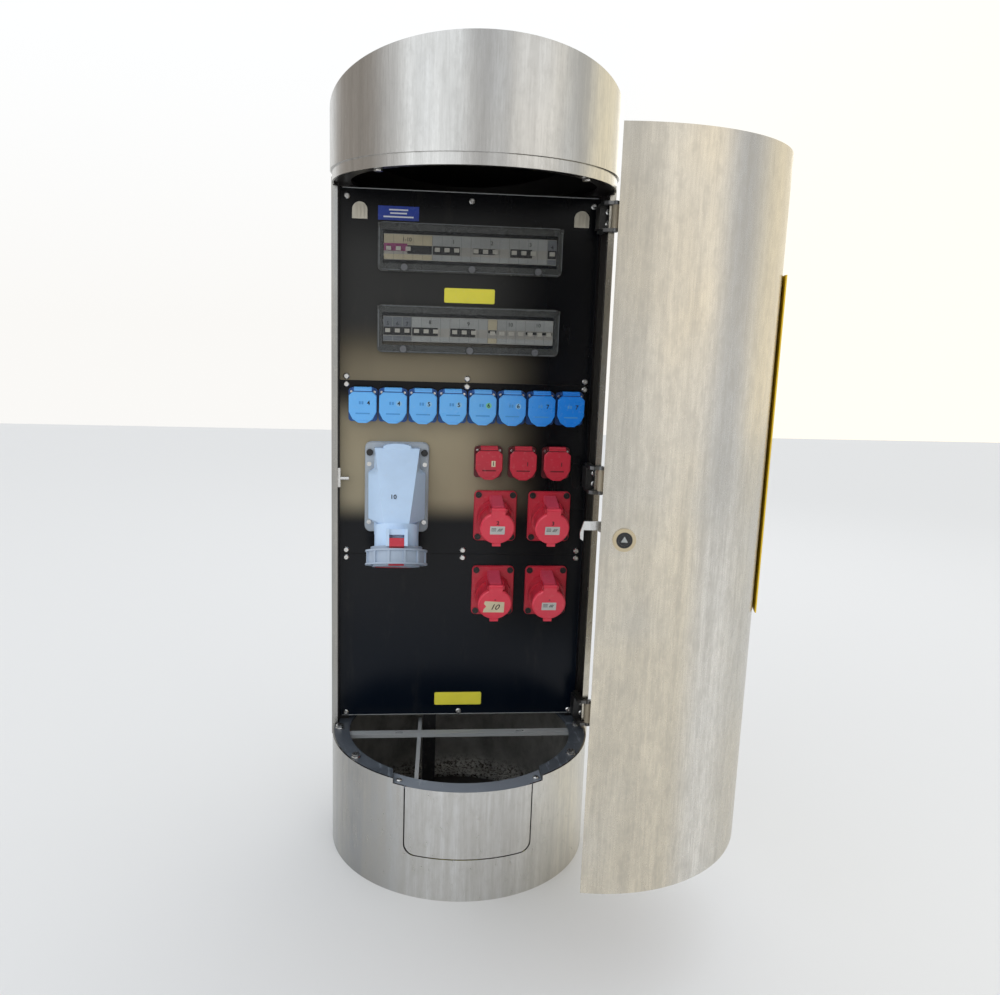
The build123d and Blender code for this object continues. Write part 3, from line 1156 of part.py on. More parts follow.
def build():
    os.makedirs("parts", exist_ok=True)
    half = PANEL_GAP / 2
    save(make_base_shell(), "base_shell")
    save(make_base_ring(), "base_ring")
    save(make_base_bars(), "base_bars")
    save(make_duct(), "cable_duct")
    save(make_hex_bolts(), "hex_bolts")
    save(make_hatch(), "hatch")
    save(make_rear_shell(), "rear_shell")
    save(make_cap_shell(), "cap_shell")
    save(make_cap_rim(), "cap_rim")
    save(make_cap_ring(), "cap_ring")
    save(make_inner_frame(), "inner_frame")
    save(make_panel(PANEL_SPLIT_HIGH + half, PANEL_HIGH, window_slots()), "panel_top")
    middle_cuts = small_holes() + large_holes(LARGE_Z[0]) + outlet_holes()
    save(make_panel(PANEL_SPLIT_LOW + half, PANEL_SPLIT_HIGH - half, middle_cuts), "panel_middle")
    save(make_panel(PANEL_LOW, PANEL_SPLIT_LOW - half, large_holes(LARGE_Z[1])), "panel_bottom")
    save(make_panel_screws(), "panel_screws")
    save([make_clip(x) for x in CLIP_X], "arch_clips")
    save(make_keeper(), "keeper")
    save(make_hinge_blocks(), "hinge_blocks")
    save(make_hinge_arms(), "hinge_arms")
    save(make_hinge_pins(), "hinge_pins")
    save([window_frame(z) for z in (WINDOW_HIGH_Z, WINDOW_LOW_Z)], "window_frames")
    save(breaker_row(UPPER_ROW, WINDOW_HIGH_Z), "breakers_upper")
    save(breaker_row(LOWER_ROW, WINDOW_LOW_Z), "breakers_lower")
    save([make_rail(z) for z in (WINDOW_HIGH_Z, WINDOW_LOW_Z)], "din_rails")
    save(make_socket_screws(), "socket_screws")
    save([small_socket(blue_x(i), BLUE_Z, BLUE_W, BLUE_H) for i in range(BLUE_COUNT)], "blue_sockets")
    for i in range(BLUE_COUNT):
        save(small_lid(blue_x(i), BLUE_Z, BLUE_W, BLUE_H), "blue_lid_" + str(i + 1))
    save([small_socket(small_red_x(i), SMALL_RED_Z, SMALL_RED_W, SMALL_RED_H)
          for i in range(SMALL_RED_COUNT)], "small_red_sockets")
    for i in range(SMALL_RED_COUNT):
        save(small_lid(small_red_x(i), SMALL_RED_Z, SMALL_RED_W, SMALL_RED_H),
             "small_red_lid_" + str(i + 1))
    save([large_socket(x, z) for z in LARGE_Z for x in LARGE_X], "large_red_sockets")
    number = 1
    for z in LARGE_Z:
        for x in LARGE_X:
            save(large_lid(x, z), "large_red_lid_" + str(number))
            number += 1
    save(make_outlet_socket(), "outlet_socket")
    save(make_outlet_lid(), "outlet_lid")
    save(make_outlet_ring(), "outlet_ring")
    for name, z in (("upper", WINDOW_HIGH_Z), ("lower", WINDOW_LOW_Z)):
        save(window_cover(z), "window_cover_" + name)
        for i, x in enumerate(KNOB_X):
            save(window_knob(x, z), "knob_" + name + "_" + str(i + 1))
    save(make_door_shell(), "door_shell")
    save(make_hinge_leaves(), "hinge_leaves")
    save(swing(make_lock_body()), "lock_body")
    save(make_yellow_plate(), "yellow_plate")
    save(swing(make_lock_core()), "lock_core")
    save(swing(make_latch_hook()), "latch_hook")


build()
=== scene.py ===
import math
import bmesh
import bpy
from mathutils import Matrix, Vector


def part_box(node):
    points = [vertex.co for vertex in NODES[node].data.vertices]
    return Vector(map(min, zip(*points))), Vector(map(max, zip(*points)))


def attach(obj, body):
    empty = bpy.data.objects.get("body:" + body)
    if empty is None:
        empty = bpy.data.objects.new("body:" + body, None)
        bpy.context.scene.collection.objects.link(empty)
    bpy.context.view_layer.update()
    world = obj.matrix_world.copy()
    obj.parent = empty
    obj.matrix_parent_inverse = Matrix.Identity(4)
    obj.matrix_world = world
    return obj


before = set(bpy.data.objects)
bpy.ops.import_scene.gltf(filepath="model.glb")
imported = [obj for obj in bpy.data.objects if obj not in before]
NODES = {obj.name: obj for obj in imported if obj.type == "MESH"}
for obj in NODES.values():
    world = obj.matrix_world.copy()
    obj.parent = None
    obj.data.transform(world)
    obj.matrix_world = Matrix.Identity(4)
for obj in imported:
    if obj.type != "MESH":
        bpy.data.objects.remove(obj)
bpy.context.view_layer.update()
MM = 0.001

# Sizes in millimetres that the looks share with the CAD part
TUBE_INNER_R = 243.5
INNER_R = 247.0
CAP_INSIDE_Z = 1241
HATCH_FLANGE_Z = 199
MODULE_W = 17.5
MODULES = 18
TOGGLE_OUT = 6.5
UPPER_DEVICES = (5, 4, 4, 4, 1)
LOWER_DEVICES = (1, 1, 1, 4, 4, 1, 3, 3)
BLUE_HALF_H = 28.25
SMALL_RED_HALF_H = 27.25
LID_TAB = 1.5
SCREW_SIDE = 21.25
SCREW_SEAT = 33.7
DOOR_OPEN = 81.8
DOOR_PIVOT = (248.0, -28.0, 0.0)
LARGE_HALF_H = 49.0
LARGE_ROW_STEP = 148.5
LARGE_FLANGE_T = 6.0
LARGE_SAG = 3.0
LARGE_TILT = 15.0
LARGE_FACE = 48.0
BLACK_SCREWS_FROM_X = -20
LOCK_SEAT_INNER_R = 7.6
LOCK_SEAT_OUTER_R = 10.8
KEY_RECESS_R = 5.4

# The big grey outlet: its flange, the flange's screws, the red tab on its ring and the number's place
OUTLET_FLANGE_Y = 33.4
OUTLET_SCREW_Y = (31, 34.3)
OUTLET_SCREW_SIDE = 51
OUTLET_SCREW_DROP = 20
OUTLET_SCREW_REACH = (6.6, 7)
RED_TAB_HALF = 14
RED_TAB_DEPTH = 14
OUTLET_BAND_RISE = 10
OUTLET_NUMBER_SHIFT = -6.4
OUTLET_NUMBER_Y = -34.0
OUTLET_NUMBER_Z = 677
OUTLET_NUMBER_SLOPE = -32.1

# Print on the panels: left to right place, height, width
PRINT_T = 0.2
BLUE_LABEL = (-131.5, 1179.8, 73)
BLUE_LABEL_H = 24.5
BLUE_LABEL_BARS = ((34, 5.8), (30, 0.0), (54, -6.2))
YELLOW_LABELS = ((0, 1039.8, 93), (-1.8, 254.8, 93.5))
YELLOW_LABEL_H = 26.5
PANEL_LIP_W = 462

# Breaker faces: rise and height of skin and foot, edges of the usual band, place and size of the pink
SKIN_GAP = 1.2
SKIN = (12.2, 19)
FOOT = (-17.2, 9)
BAND = (3.5, -11.5)
GROOVE_H = 43
MAIN_PINK = (-136, 42, 13)

# Hinge ridges of the large red sockets
RIDGE_FRONT_Y = -8.6
RIDGE_HALF_W = 12.0

# Camera from the perspective fit of the photograph
CAMERA_PLACE = (-0.142557, -1.656145, 0.981373)
CAMERA_TURN = (0.10176, -0.19392, -0.03074)
CAMERA_SHIFT = (0.0202, 0.0091)
FOCAL_PX, PHOTO_W, SENSOR_W = 904.71, 1000, 36.0


def make_camera():
    yaw, pitch, roll = CAMERA_TURN
    fwd = Vector((math.sin(yaw) * math.cos(pitch), math.cos(yaw) * math.cos(pitch), math.sin(pitch)))
    level = Vector((math.cos(yaw), -math.sin(yaw), 0))
    down = fwd.cross(level)
    right = math.cos(roll) * level + math.sin(roll) * down
    below = -math.sin(roll) * level + math.cos(roll) * down
    data = bpy.data.cameras.new("camera")
    data.sensor_fit = "HORIZONTAL"
    data.sensor_width = SENSOR_W
    data.lens = FOCAL_PX / PHOTO_W * SENSOR_W
    data.shift_x, data.shift_y = CAMERA_SHIFT
    data.clip_start = 0.05
    cam = bpy.data.objects.new("camera", data)
    turn = Matrix((right, -below, -fwd)).transposed().to_4x4()
    cam.matrix_world = Matrix.Translation(CAMERA_PLACE) @ turn
    bpy.context.scene.collection.objects.link(cam)
    bpy.context.scene.camera = cam


# Shader helpers
def srgb(text):
    values = [int(text[i:i + 2], 16) / 255 for i in (0, 2, 4)]
    return tuple(v / 12.92 if v <= 0.04045 else ((v + 0.055) / 1.055) ** 2.4 for v in values) + (1,)


class Nodes:
    """Adds the nodes of one tree and links them."""

    def __init__(self, tree, coord):
        self.tree = tree
        self.coord = self.node("ShaderNodeTexCoord").outputs[coord]

    def node(self, kind, **props):
        made = self.tree.nodes.new(kind)
        for key, value in props.items():
            setattr(made, key, value)
        return made

    def feed(self, socket, value):
        if isinstance(value, (float, int, tuple)):
            socket.default_value = value
        else:
            self.tree.links.new(value, socket)

    def noise(self, scale, stretch=(1, 1, 1), detail=3.0, rough=0.5, offset=(0, 0, 0)):
        mapping = self.node("ShaderNodeMapping")
        mapping.inputs["Scale"].default_value = stretch
        mapping.inputs["Location"].default_value = offset
        self.feed(mapping.inputs["Vector"], self.coord)
        made = self.node("ShaderNodeTexNoise")
        made.inputs["Scale"].default_value = scale
        made.inputs["Detail"].default_value = detail
        made.inputs["Roughness"].default_value = rough
        self.feed(made.inputs["Vector"], mapping.outputs["Vector"])
        return made.outputs["Fac"]

    def axis(self, index):
        """One coordinate: metres in a material, a direction's part in the world."""
        made = self.node("ShaderNodeSeparateXYZ")
        self.feed(made.inputs["Vector"], self.coord)
        return made.outputs[index]

    def span(self, value, low, high, a=0.0, b=1.0, kind="SMOOTHSTEP"):
        """Takes low to a and high to b, clamped."""
        made = self.node("ShaderNodeMapRange", interpolation_type=kind)
        for index, number in enumerate((value, low, high, a, b)):
            self.feed(made.inputs[index], number)
        return made.outputs[0]

    def mix(self, fac, a, b):
        made = self.node("ShaderNodeMix", data_type="RGBA")
        for value, index in ((fac, 0), (a, 6), (b, 7)):
            self.feed(made.inputs[index], value)
        return made.outputs[2]

    def math(self, kind, a, b):
        made = self.node("ShaderNodeMath", operation=kind)
        self.feed(made.inputs[0], a)
        self.feed(made.inputs[1], b)
        return made.outputs[0]

    def times(self, a, b):
        return self.math("MULTIPLY", a, b)

    def plus(self, a, b):
        return self.math("ADD", a, b)


class Shader(Nodes):
    """A principled material."""

    def __init__(self, name, color, rough, metal=0.0):
        self.mat = bpy.data.materials.new(name)
        self.mat.use_nodes = True
        super().__init__(self.mat.node_tree, "Object")
        self.bsdf = self.tree.nodes["Principled BSDF"]
        self.bsdf.inputs["Base Color"].default_value = color
        self.bsdf.inputs["Roughness"].default_value = rough
        self.bsdf.inputs["Metallic"].default_value = metal

    def color(self, value):
        self.feed(self.bsdf.inputs["Base Color"], value)

    def rough(self, value):
        self.feed(self.bsdf.inputs["Roughness"], value)

    def bump(self, height, strength, distance):
        made = self.node("ShaderNodeBump")
        made.inputs["Strength"].default_value = strength
        made.inputs["Distance"].default_value = distance
        self.feed(made.inputs["Height"], height)
        self.feed(self.bsdf.inputs["Normal"], made.outputs["Normal"])


def steel(name, light, dark, right_reflection=None, rough=0.3, streaks=0.2, blotches=0.2, right_reflection_x=(0.05, 0.24),
          low=None, left=None, left_reflection_x=(-0.02, -0.2)):
    """Brushed stainless: upright streaks and cloudy blotches, with painted reflections if asked: a
    warm tone to the right, a lighter one low down and another tone to the left."""
    s = Shader(name, light, rough, 1.0)
    upright = (1, 1, 0.045)
    wide = s.noise(16, upright, 3, 0.55, (2, 1, 0))
    streak = s.noise(70, upright, 4, 0.62)
    fine = s.noise(420, (1, 1, 0.06), 2, 0.6)
    level = s.noise(900, (0.05, 0.05, 1), 2, 0.5)
    blotch = s.noise(9, (1, 1, 0.6), 5, 0.68, (3, 1, 7))
    cloud = s.noise(85, (1, 1, 0.5), 5, 0.74, (5, 2, 1))
    patch = s.noise(3.2, (1, 1, 0.7), 3, 0.6, (2, 7, 3))
    speck = s.noise(120, (1, 1, 0.8), 3, 0.7, (5, 2, 1))
    tone = light
    # Painted reflections: low lightens the steel from 1.15 m down to 0.6 m, right_reflection tints it
    # to the right, left tints it to the left
    for index, ends, other in ((2, (1.15, 0.6), low), (0, right_reflection_x, right_reflection), (0, left_reflection_x, left)):
        if other is not None:
            tone = s.mix(s.span(s.axis(index), *ends), tone, other)
    tone = s.mix(s.times(s.span(patch, 0.42, 0.62), 0.3), tone, (0.53, 0.57, 0.62, 1))
    marks = ((wide, 0.36, 0.64, streaks * 0.6), (streak, 0.36, 0.66, streaks),
             (blotch, 0.42, 0.68, blotches * 0.8), (cloud, 0.44, 0.66, blotches),
             (fine, 0.3, 0.75, 0.25), (speck, 0.68, 0.76, 0.12))
    for noise, start, end, amount in marks:
        tone = s.mix(s.times(s.span(noise, start, end), amount), tone, dark)
    s.color(tone)
    s.rough(s.plus(s.times(cloud, 0.24), rough - 0.1))
    s.bump(s.plus(s.plus(fine, level), s.times(streak, 0.4)), 0.1, 0.0004)
    return s.mat


def plastic(name, color, rough=0.35, vary=0.1, right_shade=None, right_shade_x=(0.0, 0.2)):
    """Moulded plastic with a fine skin, slightly uneven, with painted shade deepening its colour to
    the right if asked.
    """
    s = Shader(name, color, rough)
    tone = color if right_shade is None else s.mix(s.span(s.axis(0), *right_shade_x), color, right_shade)
    patch = s.noise(24, (1, 1, 1), 4, 0.6)
    film = s.noise(150, (1, 1, 1), 3, 0.6)
    shade = s.mix(s.times(s.span(patch, 0.35, 0.7), vary), tone, (0.03, 0.03, 0.03, 1))
    s.color(s.mix(s.times(s.span(film, 0.55, 0.75), 0.06), shade, (0.75, 0.72, 0.66, 1)))
    s.rough(s.plus(s.times(patch, 0.2), rough - 0.1))
    s.bump(s.noise(900, (1, 1, 1), 2), 0.05, 0.0004)
    return s.mat


def painted(name, color, dust, rough=0.32, amount=0.3, scratches=0.0):
    """Powder-coated sheet: fine orange peel, dust in soft drifts, light scratches if asked."""
    s = Shader(name, color, rough)
    drift = s.noise(5, (1, 1, 0.6), 5, 0.65, (1, 5, 2))
    speck = s.noise(170, (1, 1, 1), 2, 0.6)
    shade = s.mix(s.times(s.span(drift, 0.4, 0.75), amount), color, dust)
    shade = s.mix(s.times(s.span(speck, 0.62, 0.72), 0.05), shade, dust)
    if scratches:
        along = s.noise(60, (1, 0.14, 1), 4, 0.75, (4, 0, 0))
        across = s.noise(60, (0.14, 1, 1), 4, 0.75, (0, 7, 0))
        worn = s.math("MAXIMUM", s.span(along, 0.6, 0.68), s.span(across, 0.62, 0.7))
        shade = s.mix(s.times(worn, scratches), shade, dust)
    s.color(shade)
    s.rough(s.plus(s.times(drift, 0.22), rough - 0.08))
    s.bump(s.noise(1400, (1, 1, 1), 2), 0.06, 0.0003)
    return s.mat


def panel_paint():
    """Glossy black sheet with painted reflections: brown over its middle, grey above, dark bluish
    black below.

    The numbers given with the height are metres above the ground."""
    s = Shader("panel_black", (0.006, 0.006, 0.007, 1), 0.24)
    s.bsdf.inputs["Specular IOR Level"].default_value = 0.2
    height, across = s.axis(2), s.axis(0)
    drift = s.noise(4, (1, 1, 0.7), 4, 0.6, (1, 5, 2))
    wipe = s.noise(30, (1, 1, 0.25), 4, 0.65, (2, 2, 2))
    side = s.span(across, 0.16, -0.02)
    # Painted reflections: middle and top make the brown reflection, grey the grey one above, both
    # fading to the right by side; low is a painted sheen
    middle = s.times(s.span(height, 0.61, 0.665), s.span(height, 0.868, 0.80))
    top = s.times(s.span(height, 1.0, 0.885, 0.0, 0.62), s.span(height, 0.8813, 0.8817))
    haze = s.times(s.math("MAXIMUM", middle, top), side)
    haze = s.times(haze, s.span(drift, 0.2, 0.7, 0.8, 1.0))
    grey = s.times(s.times(s.span(height, 0.93, 1.0), s.span(height, 1.2, 1.1)), side)
    low = s.times(s.span(height, 0.36, 0.53), s.span(height, 0.66, 0.58))
    # Painted dark reflection: bluish black below 0.6 m, with the painted reflections and sheen mixed
    # over it
    shade = s.mix(s.span(height, 0.3, 0.6), (0.002, 0.005, 0.011, 1), (0.004, 0.0045, 0.006, 1))
    shade = s.mix(haze, shade, (0.39, 0.33, 0.22, 1))
    shade = s.mix(s.times(grey, 0.35), shade, (0.085, 0.085, 0.08, 1))
    shade = s.mix(s.times(low, 0.05), shade, (0.10, 0.10, 0.11, 1))
    s.color(s.mix(s.times(s.span(wipe, 0.55, 0.8), 0.03), shade, srgb("8d8470")))
    s.rough(s.plus(s.times(drift, 0.16), 0.14))
    s.bump(s.noise(1400, (1, 1, 1), 2), 0.05, 0.0003)
    return s.mat


def shaded_inside_with_earth(name, metal, soil):
    """Dull sheet inside the base and the hatch, darker than the outside as painted shade, with earth
    near the ground.
    """
    s = Shader(name, metal, 0.45, 0.75)
    blotch = s.noise(9, (1, 1, 0.7), 5, 0.68)
    crumb = s.noise(170, (1, 1, 1), 4, 0.7, (1, 3, 2))
    low = s.span(s.axis(2), 0.045, 0.003)
    shade = s.mix(s.span(blotch, 0.35, 0.7), metal, tuple(c * 0.45 for c in metal[:3]) + (1,))
    earth = s.times(low, s.span(crumb, 0.46, 0.6))
    s.color(s.mix(earth, shade, soil))
    s.rough(s.plus(s.times(blotch, 0.3), 0.28))
    s.bump(crumb, 0.15, 0.001)
    return s.mat


def clear(name, tint, alpha):
    """Smoked clear plastic, faintly hazed."""
    s = Shader(name, tint, 0.08)
    s.bsdf.inputs["Alpha"].default_value = alpha
    s.bsdf.inputs["Specular IOR Level"].default_value = 0.3
    haze = s.noise(30, (1, 1, 1), 4, 0.6)
    s.rough(s.plus(s.times(haze, 0.12), 0.04))
    return s.mat


# Plastics and print: key, name, colour, roughness, unevenness
PLASTICS = (
    ("red", "red_plastic", "c82c40", 0.32, 0.08),
    # red_body_shaded: the small red sockets' body, painted darker than the lids as shade
    ("red_dark", "red_body_shaded", "5e141e", 0.36, 0.12),
    ("red_large", "red_large", "f2445a", 0.32, 0.06),
    ("red_ridge", "red_ridge", "e2506a", 0.32, 0.06),
    ("grey", "grey_plastic", "c8e2ff", 0.34, 0.05),
    ("grey_flange", "grey_flange", "aeb6be", 0.38, 0.08),
    ("grey_ring", "grey_ring", "aab9cc", 0.38, 0.08),
    ("breaker", "breaker_plastic", "a9a7a0", 0.45, 0.1),
    ("toggle", "toggle_plastic", "c3c0b6", 0.4, 0.1),
    ("cream", "cream_plastic", "d6d0c0", 0.45, 0.1),
    ("window", "window_frame", "474947", 0.28, 0.2),
    ("knob", "knob_plastic", "6a6c70", 0.3, 0.1),
    ("pen", "pen", "3a1420", 0.5, 0.0),
    ("paper", "paper", "e6d8b8", 0.7, 0.15),
    ("tag", "tag", "d3d4d2", 0.5, 0.1),
    ("white", "white_print", "e8ecf4", 0.5, 0.0),
    ("label_blue", "label_blue", "1c3fa8", 0.4, 0.1),
    ("label_yellow", "label_yellow", "faf04c", 0.4, 0.06),
    ("blue_line", "blue_line", "0d3f86", 0.5, 0.0),
    ("blue_mark", "blue_mark", "4a97dc", 0.5, 0.0),
    ("red_line", "red_line", "6a0f1c", 0.5, 0.0),
    ("sky_disc", "sky_disc", "8cc4f2", 0.4, 0.0),
    ("grass_disc", "grass_disc", "7cc8a0", 0.4, 0.0),
    ("magenta", "magenta_print", "9c4478", 0.45, 0.1),
    ("beige_face", "beige_face", "c2b89c", 0.45, 0.1),
    ("pale_face", "pale_face", "a9acaa", 0.45, 0.15),
    ("dim_face", "dim_face", "70757a", 0.45, 0.1))

# Painted sheet: key, name, colour, dust, roughness, amount of dust, scratches
PAINTS = (
    ("ring", "ring_grey", "444a52", "8c96a0", 0.36, 0.25, 0.5),
    ("flange", "flange_grey", "7c848e", "a4acb4", 0.34, 0.3, 0.5),
    ("bar", "bar_grey", "a4a8aa", "b4b4b0", 0.4, 0.4, 0.0),
    ("yellow", "yellow_paint", "f0c81c", "c09a30", 0.4, 0.15, 0.0),
    ("beige", "beige_leaf", "b0a590", "80766a", 0.4, 0.3, 0.0),
    ("rosette", "rosette", "c4b596", "8d7f62", 0.35, 0.3, 0.0))


def make_materials():
    bright, worn = (0.8, 0.79, 0.77, 1), (0.5, 0.5, 0.48, 1)
    m = {
        # Painted reflections on the steel: the stainless shells darker to the left, the cap and the
        # door warmer to the right, the door lighter low down and warmer to its left
        "stainless": steel("stainless", (0.90, 0.89, 0.87, 1), (0.46, 0.44, 0.40, 1),
                           (0.80, 0.74, 0.60, 1), 0.22, 0.42, 0.25, right_reflection_x=(0.05, 0.19),
                           left=(0.26, 0.26, 0.255, 1), left_reflection_x=(-0.05, -0.2)),
        "cap": steel("stainless_cap", (0.60, 0.595, 0.58, 1), (0.36, 0.355, 0.34, 1),
                     (0.62, 0.585, 0.48, 1), 0.2, 0.32, 0.2),
        "door": steel("stainless_door", (0.55, 0.545, 0.53, 1), (0.38, 0.36, 0.32, 1),
                      (0.66, 0.60, 0.47, 1), 0.26, 0.28, 0.24, right_reflection_x=(0.31, 0.40),
                      low=(0.86, 0.83, 0.77, 1), left=(0.76, 0.69, 0.56, 1), left_reflection_x=(0.30, 0.25)),
        "dark_steel": steel("dark_steel", (0.16, 0.155, 0.15, 1), (0.08, 0.08, 0.08, 1), rough=0.35),
        "bright": steel("bright_steel", bright, worn, rough=0.25),
        "screw": steel("screw_steel", bright, worn, rough=0.25, streaks=0.1, blotches=0.1),
        # Steel inside the base and the hatch: darker as painted shade, with earth low down
        "inside": shaded_inside_with_earth("shaded_inside_steel", (0.62, 0.61, 0.58, 1), srgb("3a2c20")),
        # Near black under the cap and inside its rim: painted shade
        "cap_inside_shade": painted("cap_inside_shade", (0.02, 0.018, 0.018, 1), srgb("3a2c22"), 0.4, 0.2),
        "frame": painted("frame_black", (0.007, 0.006, 0.006, 1), srgb("4a4036"), 0.3, 0.1),
        "panel": panel_paint(),
        "cover": clear("clear_cover", srgb("505458"), 0.1),
        # Blue lids and bodies deepen to the right as painted shade; the body is painted much darker
        # than the lids as shade
        "blue": plastic("blue_plastic", srgb("6cbcff"), 0.3, 0.04, srgb("1086ee")),
        "blue_dark": plastic("blue_body_shaded", srgb("1c5aa4"), 0.36, 0.1, srgb("0c3c78")),
        "black": plastic("black_plastic", (0.012, 0.012, 0.013, 1), 0.34, 0.0),
        "ink": plastic("ink", (0.01, 0.01, 0.012, 1), 0.5, 0.0)}
    for key, name, color, rough, vary in PLASTICS:
        m[key] = plastic(name, srgb(color), rough, vary)
    for key, name, color, dust, rough, amount, scratches in PAINTS:
        m[key] = painted(name, srgb(color), srgb(dust), rough, amount, scratches)
    return m


# Looks of the CAD nodes; a node that isn't named here or in node_look is bright steel
NODE_LOOK = {
    "base_shell": "stainless", "rear_shell": "stainless", "cap_shell": "cap", "cap_rim": "cap",
    "hatch": "stainless", "door_shell": "door", "base_ring": "ring", "cap_ring": "frame",
    "base_bars": "bar", "cable_duct": "black", "inner_frame": "frame", "panel_top": "panel",
    "panel_middle": "panel", "panel_bottom": "panel", "arch_clips": "cream",
    "hinge_blocks": "black", "window_frames": "window", "breakers_upper": "breaker",
    "breakers_lower": "breaker", "blue_sockets": "blue_dark", "small_red_sockets": "red_dark",
    "large_red_sockets": "red", "outlet_socket": "grey", "outlet_lid": "red",
    "outlet_ring": "grey_ring", "yellow_plate": "yellow", "hinge_leaves": "beige",
    "window_cover_upper": "cover", "window_cover_lower": "cover", "lock_core": "black",
    "lock_body": "rosette", "hinge_arms": "dark_steel", "hinge_pins": "dark_steel"}


def node_look(name):
    if name.startswith("blue_lid"):
        return "blue"
    if name.startswith("large_red_lid"):
        return "red_large"
    if "red_lid" in name:
        return "red"
    if name.startswith("knob"):
        return "knob"
    return NODE_LOOK.get(name, "bright")


def second_look(node, material, chosen):
    """Gives a node's faces a second material where chosen(centre in mm, normal) says so."""
    obj = NODES[node]
    obj.data.materials.append(material)
    index = len(obj.data.materials) - 1
    for face in obj.data.polygons:
        if chosen(face.center * 1000, face.normal):
            face.material_index = index


def radius(point):
    return math.hypot(point.x, point.y)


def dress_nodes(m):
    for name, obj in NODES.items():
        obj.data.materials.clear()
        obj.data.materials.append(m[node_look(name)])
    # Painted shade: the steel is darker inside the base and the hatch, and near black under the cap
    # and inside its rim
    second_look("base_shell", m["inside"], lambda c, n: radius(c) < TUBE_INNER_R + 0.4)
    second_look("cap_shell", m["cap_inside_shade"], lambda c, n: radius(c) < INNER_R + 0.3
                and (n.z < -0.3 or abs(n.z) < 0.2) and c.z > CAP_INSIDE_Z)
    second_look("cap_rim", m["cap_inside_shade"], lambda c, n: radius(c) < TUBE_INNER_R + 0.4)
    second_look("hatch", m["flange"],
                lambda c, n: c.z > HATCH_FLANGE_Z and radius(c) < TUBE_INNER_R + 0.6)
    second_look("hatch", m["inside"],
                lambda c, n: c.z < HATCH_FLANGE_Z and radius(c) < TUBE_INNER_R + 0.4)
    second_look("socket_screws", m["black"], lambda c, n: c.x > BLACK_SCREWS_FROM_X)
    for row in ("breakers_upper", "breakers_lower"):
        face_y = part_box(row)[0].y * 1000 + TOGGLE_OUT
        second_look(row, m["toggle"], lambda c, n: c.y < face_y - 0.1)
    outlet_lo, outlet_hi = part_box("outlet_socket")
    middle = (outlet_lo.x + outlet_hi.x) * 500
    top = outlet_hi.z * 1000
    screw_z = top - OUTLET_SCREW_DROP
    band_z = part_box("outlet_ring")[0].z * 1000 + OUTLET_BAND_RISE
    tab_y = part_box("outlet_lid")[0].y * 1000 + RED_TAB_DEPTH
    second_look("outlet_lid", m["grey_ring"], lambda c, n: c.z > band_z
                and (c.y > tab_y or abs(c.x - middle) > RED_TAB_HALF))
    second_look("outlet_socket", m["grey_flange"], lambda c, n: c.y > OUTLET_FLANGE_Y and c.z < top)
    second_look("outlet_socket", m["black"],
                lambda c, n: OUTLET_SCREW_Y[0] < c.y < OUTLET_SCREW_Y[1]
                and abs(abs(c.x - middle) - OUTLET_SCREW_SIDE) < OUTLET_SCREW_REACH[0]
                and abs(c.z - screw_z) < OUTLET_SCREW_REACH[1])


# Pieces, drawn in a flat frame whose +Z looks out of the surface
def front(x, y, z):
    """A frame on a surface that faces the viewer, +X right and +Y up."""
    return Matrix.Translation((x * MM, y * MM, z * MM)) @ Matrix.Rotation(math.radians(90), 4, "X")


def shift(place, dx, dy, dz=0.0, turn=0.0):
    """A frame moved in its own axes and turned on its surface."""
    moved = place @ Matrix.Translation((dx * MM, dy * MM, dz * MM))
    return moved @ Matrix.Rotation(math.radians(turn), 4, "Z")


def rectangle(w, h, r=0.0):
    """Corners of a rectangle round the frame's middle, rounded if r is given."""
    if not r:
        return [(-w / 2, -h / 2), (w / 2, -h / 2), (w / 2, h / 2), (-w / 2, h / 2)]
    points = []
    for i in range(16):
        turn = math.radians(22.5 * (i + 0.5))
        side = 1 if math.cos(turn) > 0 else -1
        up = 1 if math.sin(turn) > 0 else -1
        points.append((side * (w / 2 - r) + r * math.cos(turn), up * (h / 2 - r) + r * math.sin(turn)))
    return points


def circle(r, count=28):
    return [(r * math.cos(math.tau * i / count), r * math.sin(math.tau * i / count))
            for i in range(count)]


def add_prism(bm, points, place, thick):
    """A flat plate with its back on the frame's plane."""
    back = [bm.verts.new(place @ Vector((x * MM, y * MM, 0))) for x, y in points]
    face = [bm.verts.new(place @ Vector((x * MM, y * MM, thick * MM))) for x, y in points]
    bm.faces.new(face)
    bm.faces.new(back[::-1])
    for i in range(len(points)):
        j = (i + 1) % len(points)
        bm.faces.new((back[i], back[j], face[j], face[i]))


def add_object(name, mesh, material, body, place=None):
    mesh.materials.clear()
    mesh.materials.append(material)
    obj = bpy.data.objects.new(name, mesh)
    if place is not None:
        obj.matrix_world = place
    bpy.context.scene.collection.objects.link(obj)
    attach(obj, body)


def add_bmesh(name, bm, material, body):
    mesh = bpy.data.meshes.new(name)
    bm.to_mesh(mesh)
    bm.free()
    add_object(name, mesh, material, body)


def piece(name, shapes, material, body):
    """One object made of plates: each shape is its outline, its frame and its thickness."""
    bm = bmesh.new()
    for points, place, thick in shapes:
        add_prism(bm, points, place, thick)
    bmesh.ops.recalc_face_normals(bm, faces=bm.faces)
    add_bmesh(name, bm, material, body)


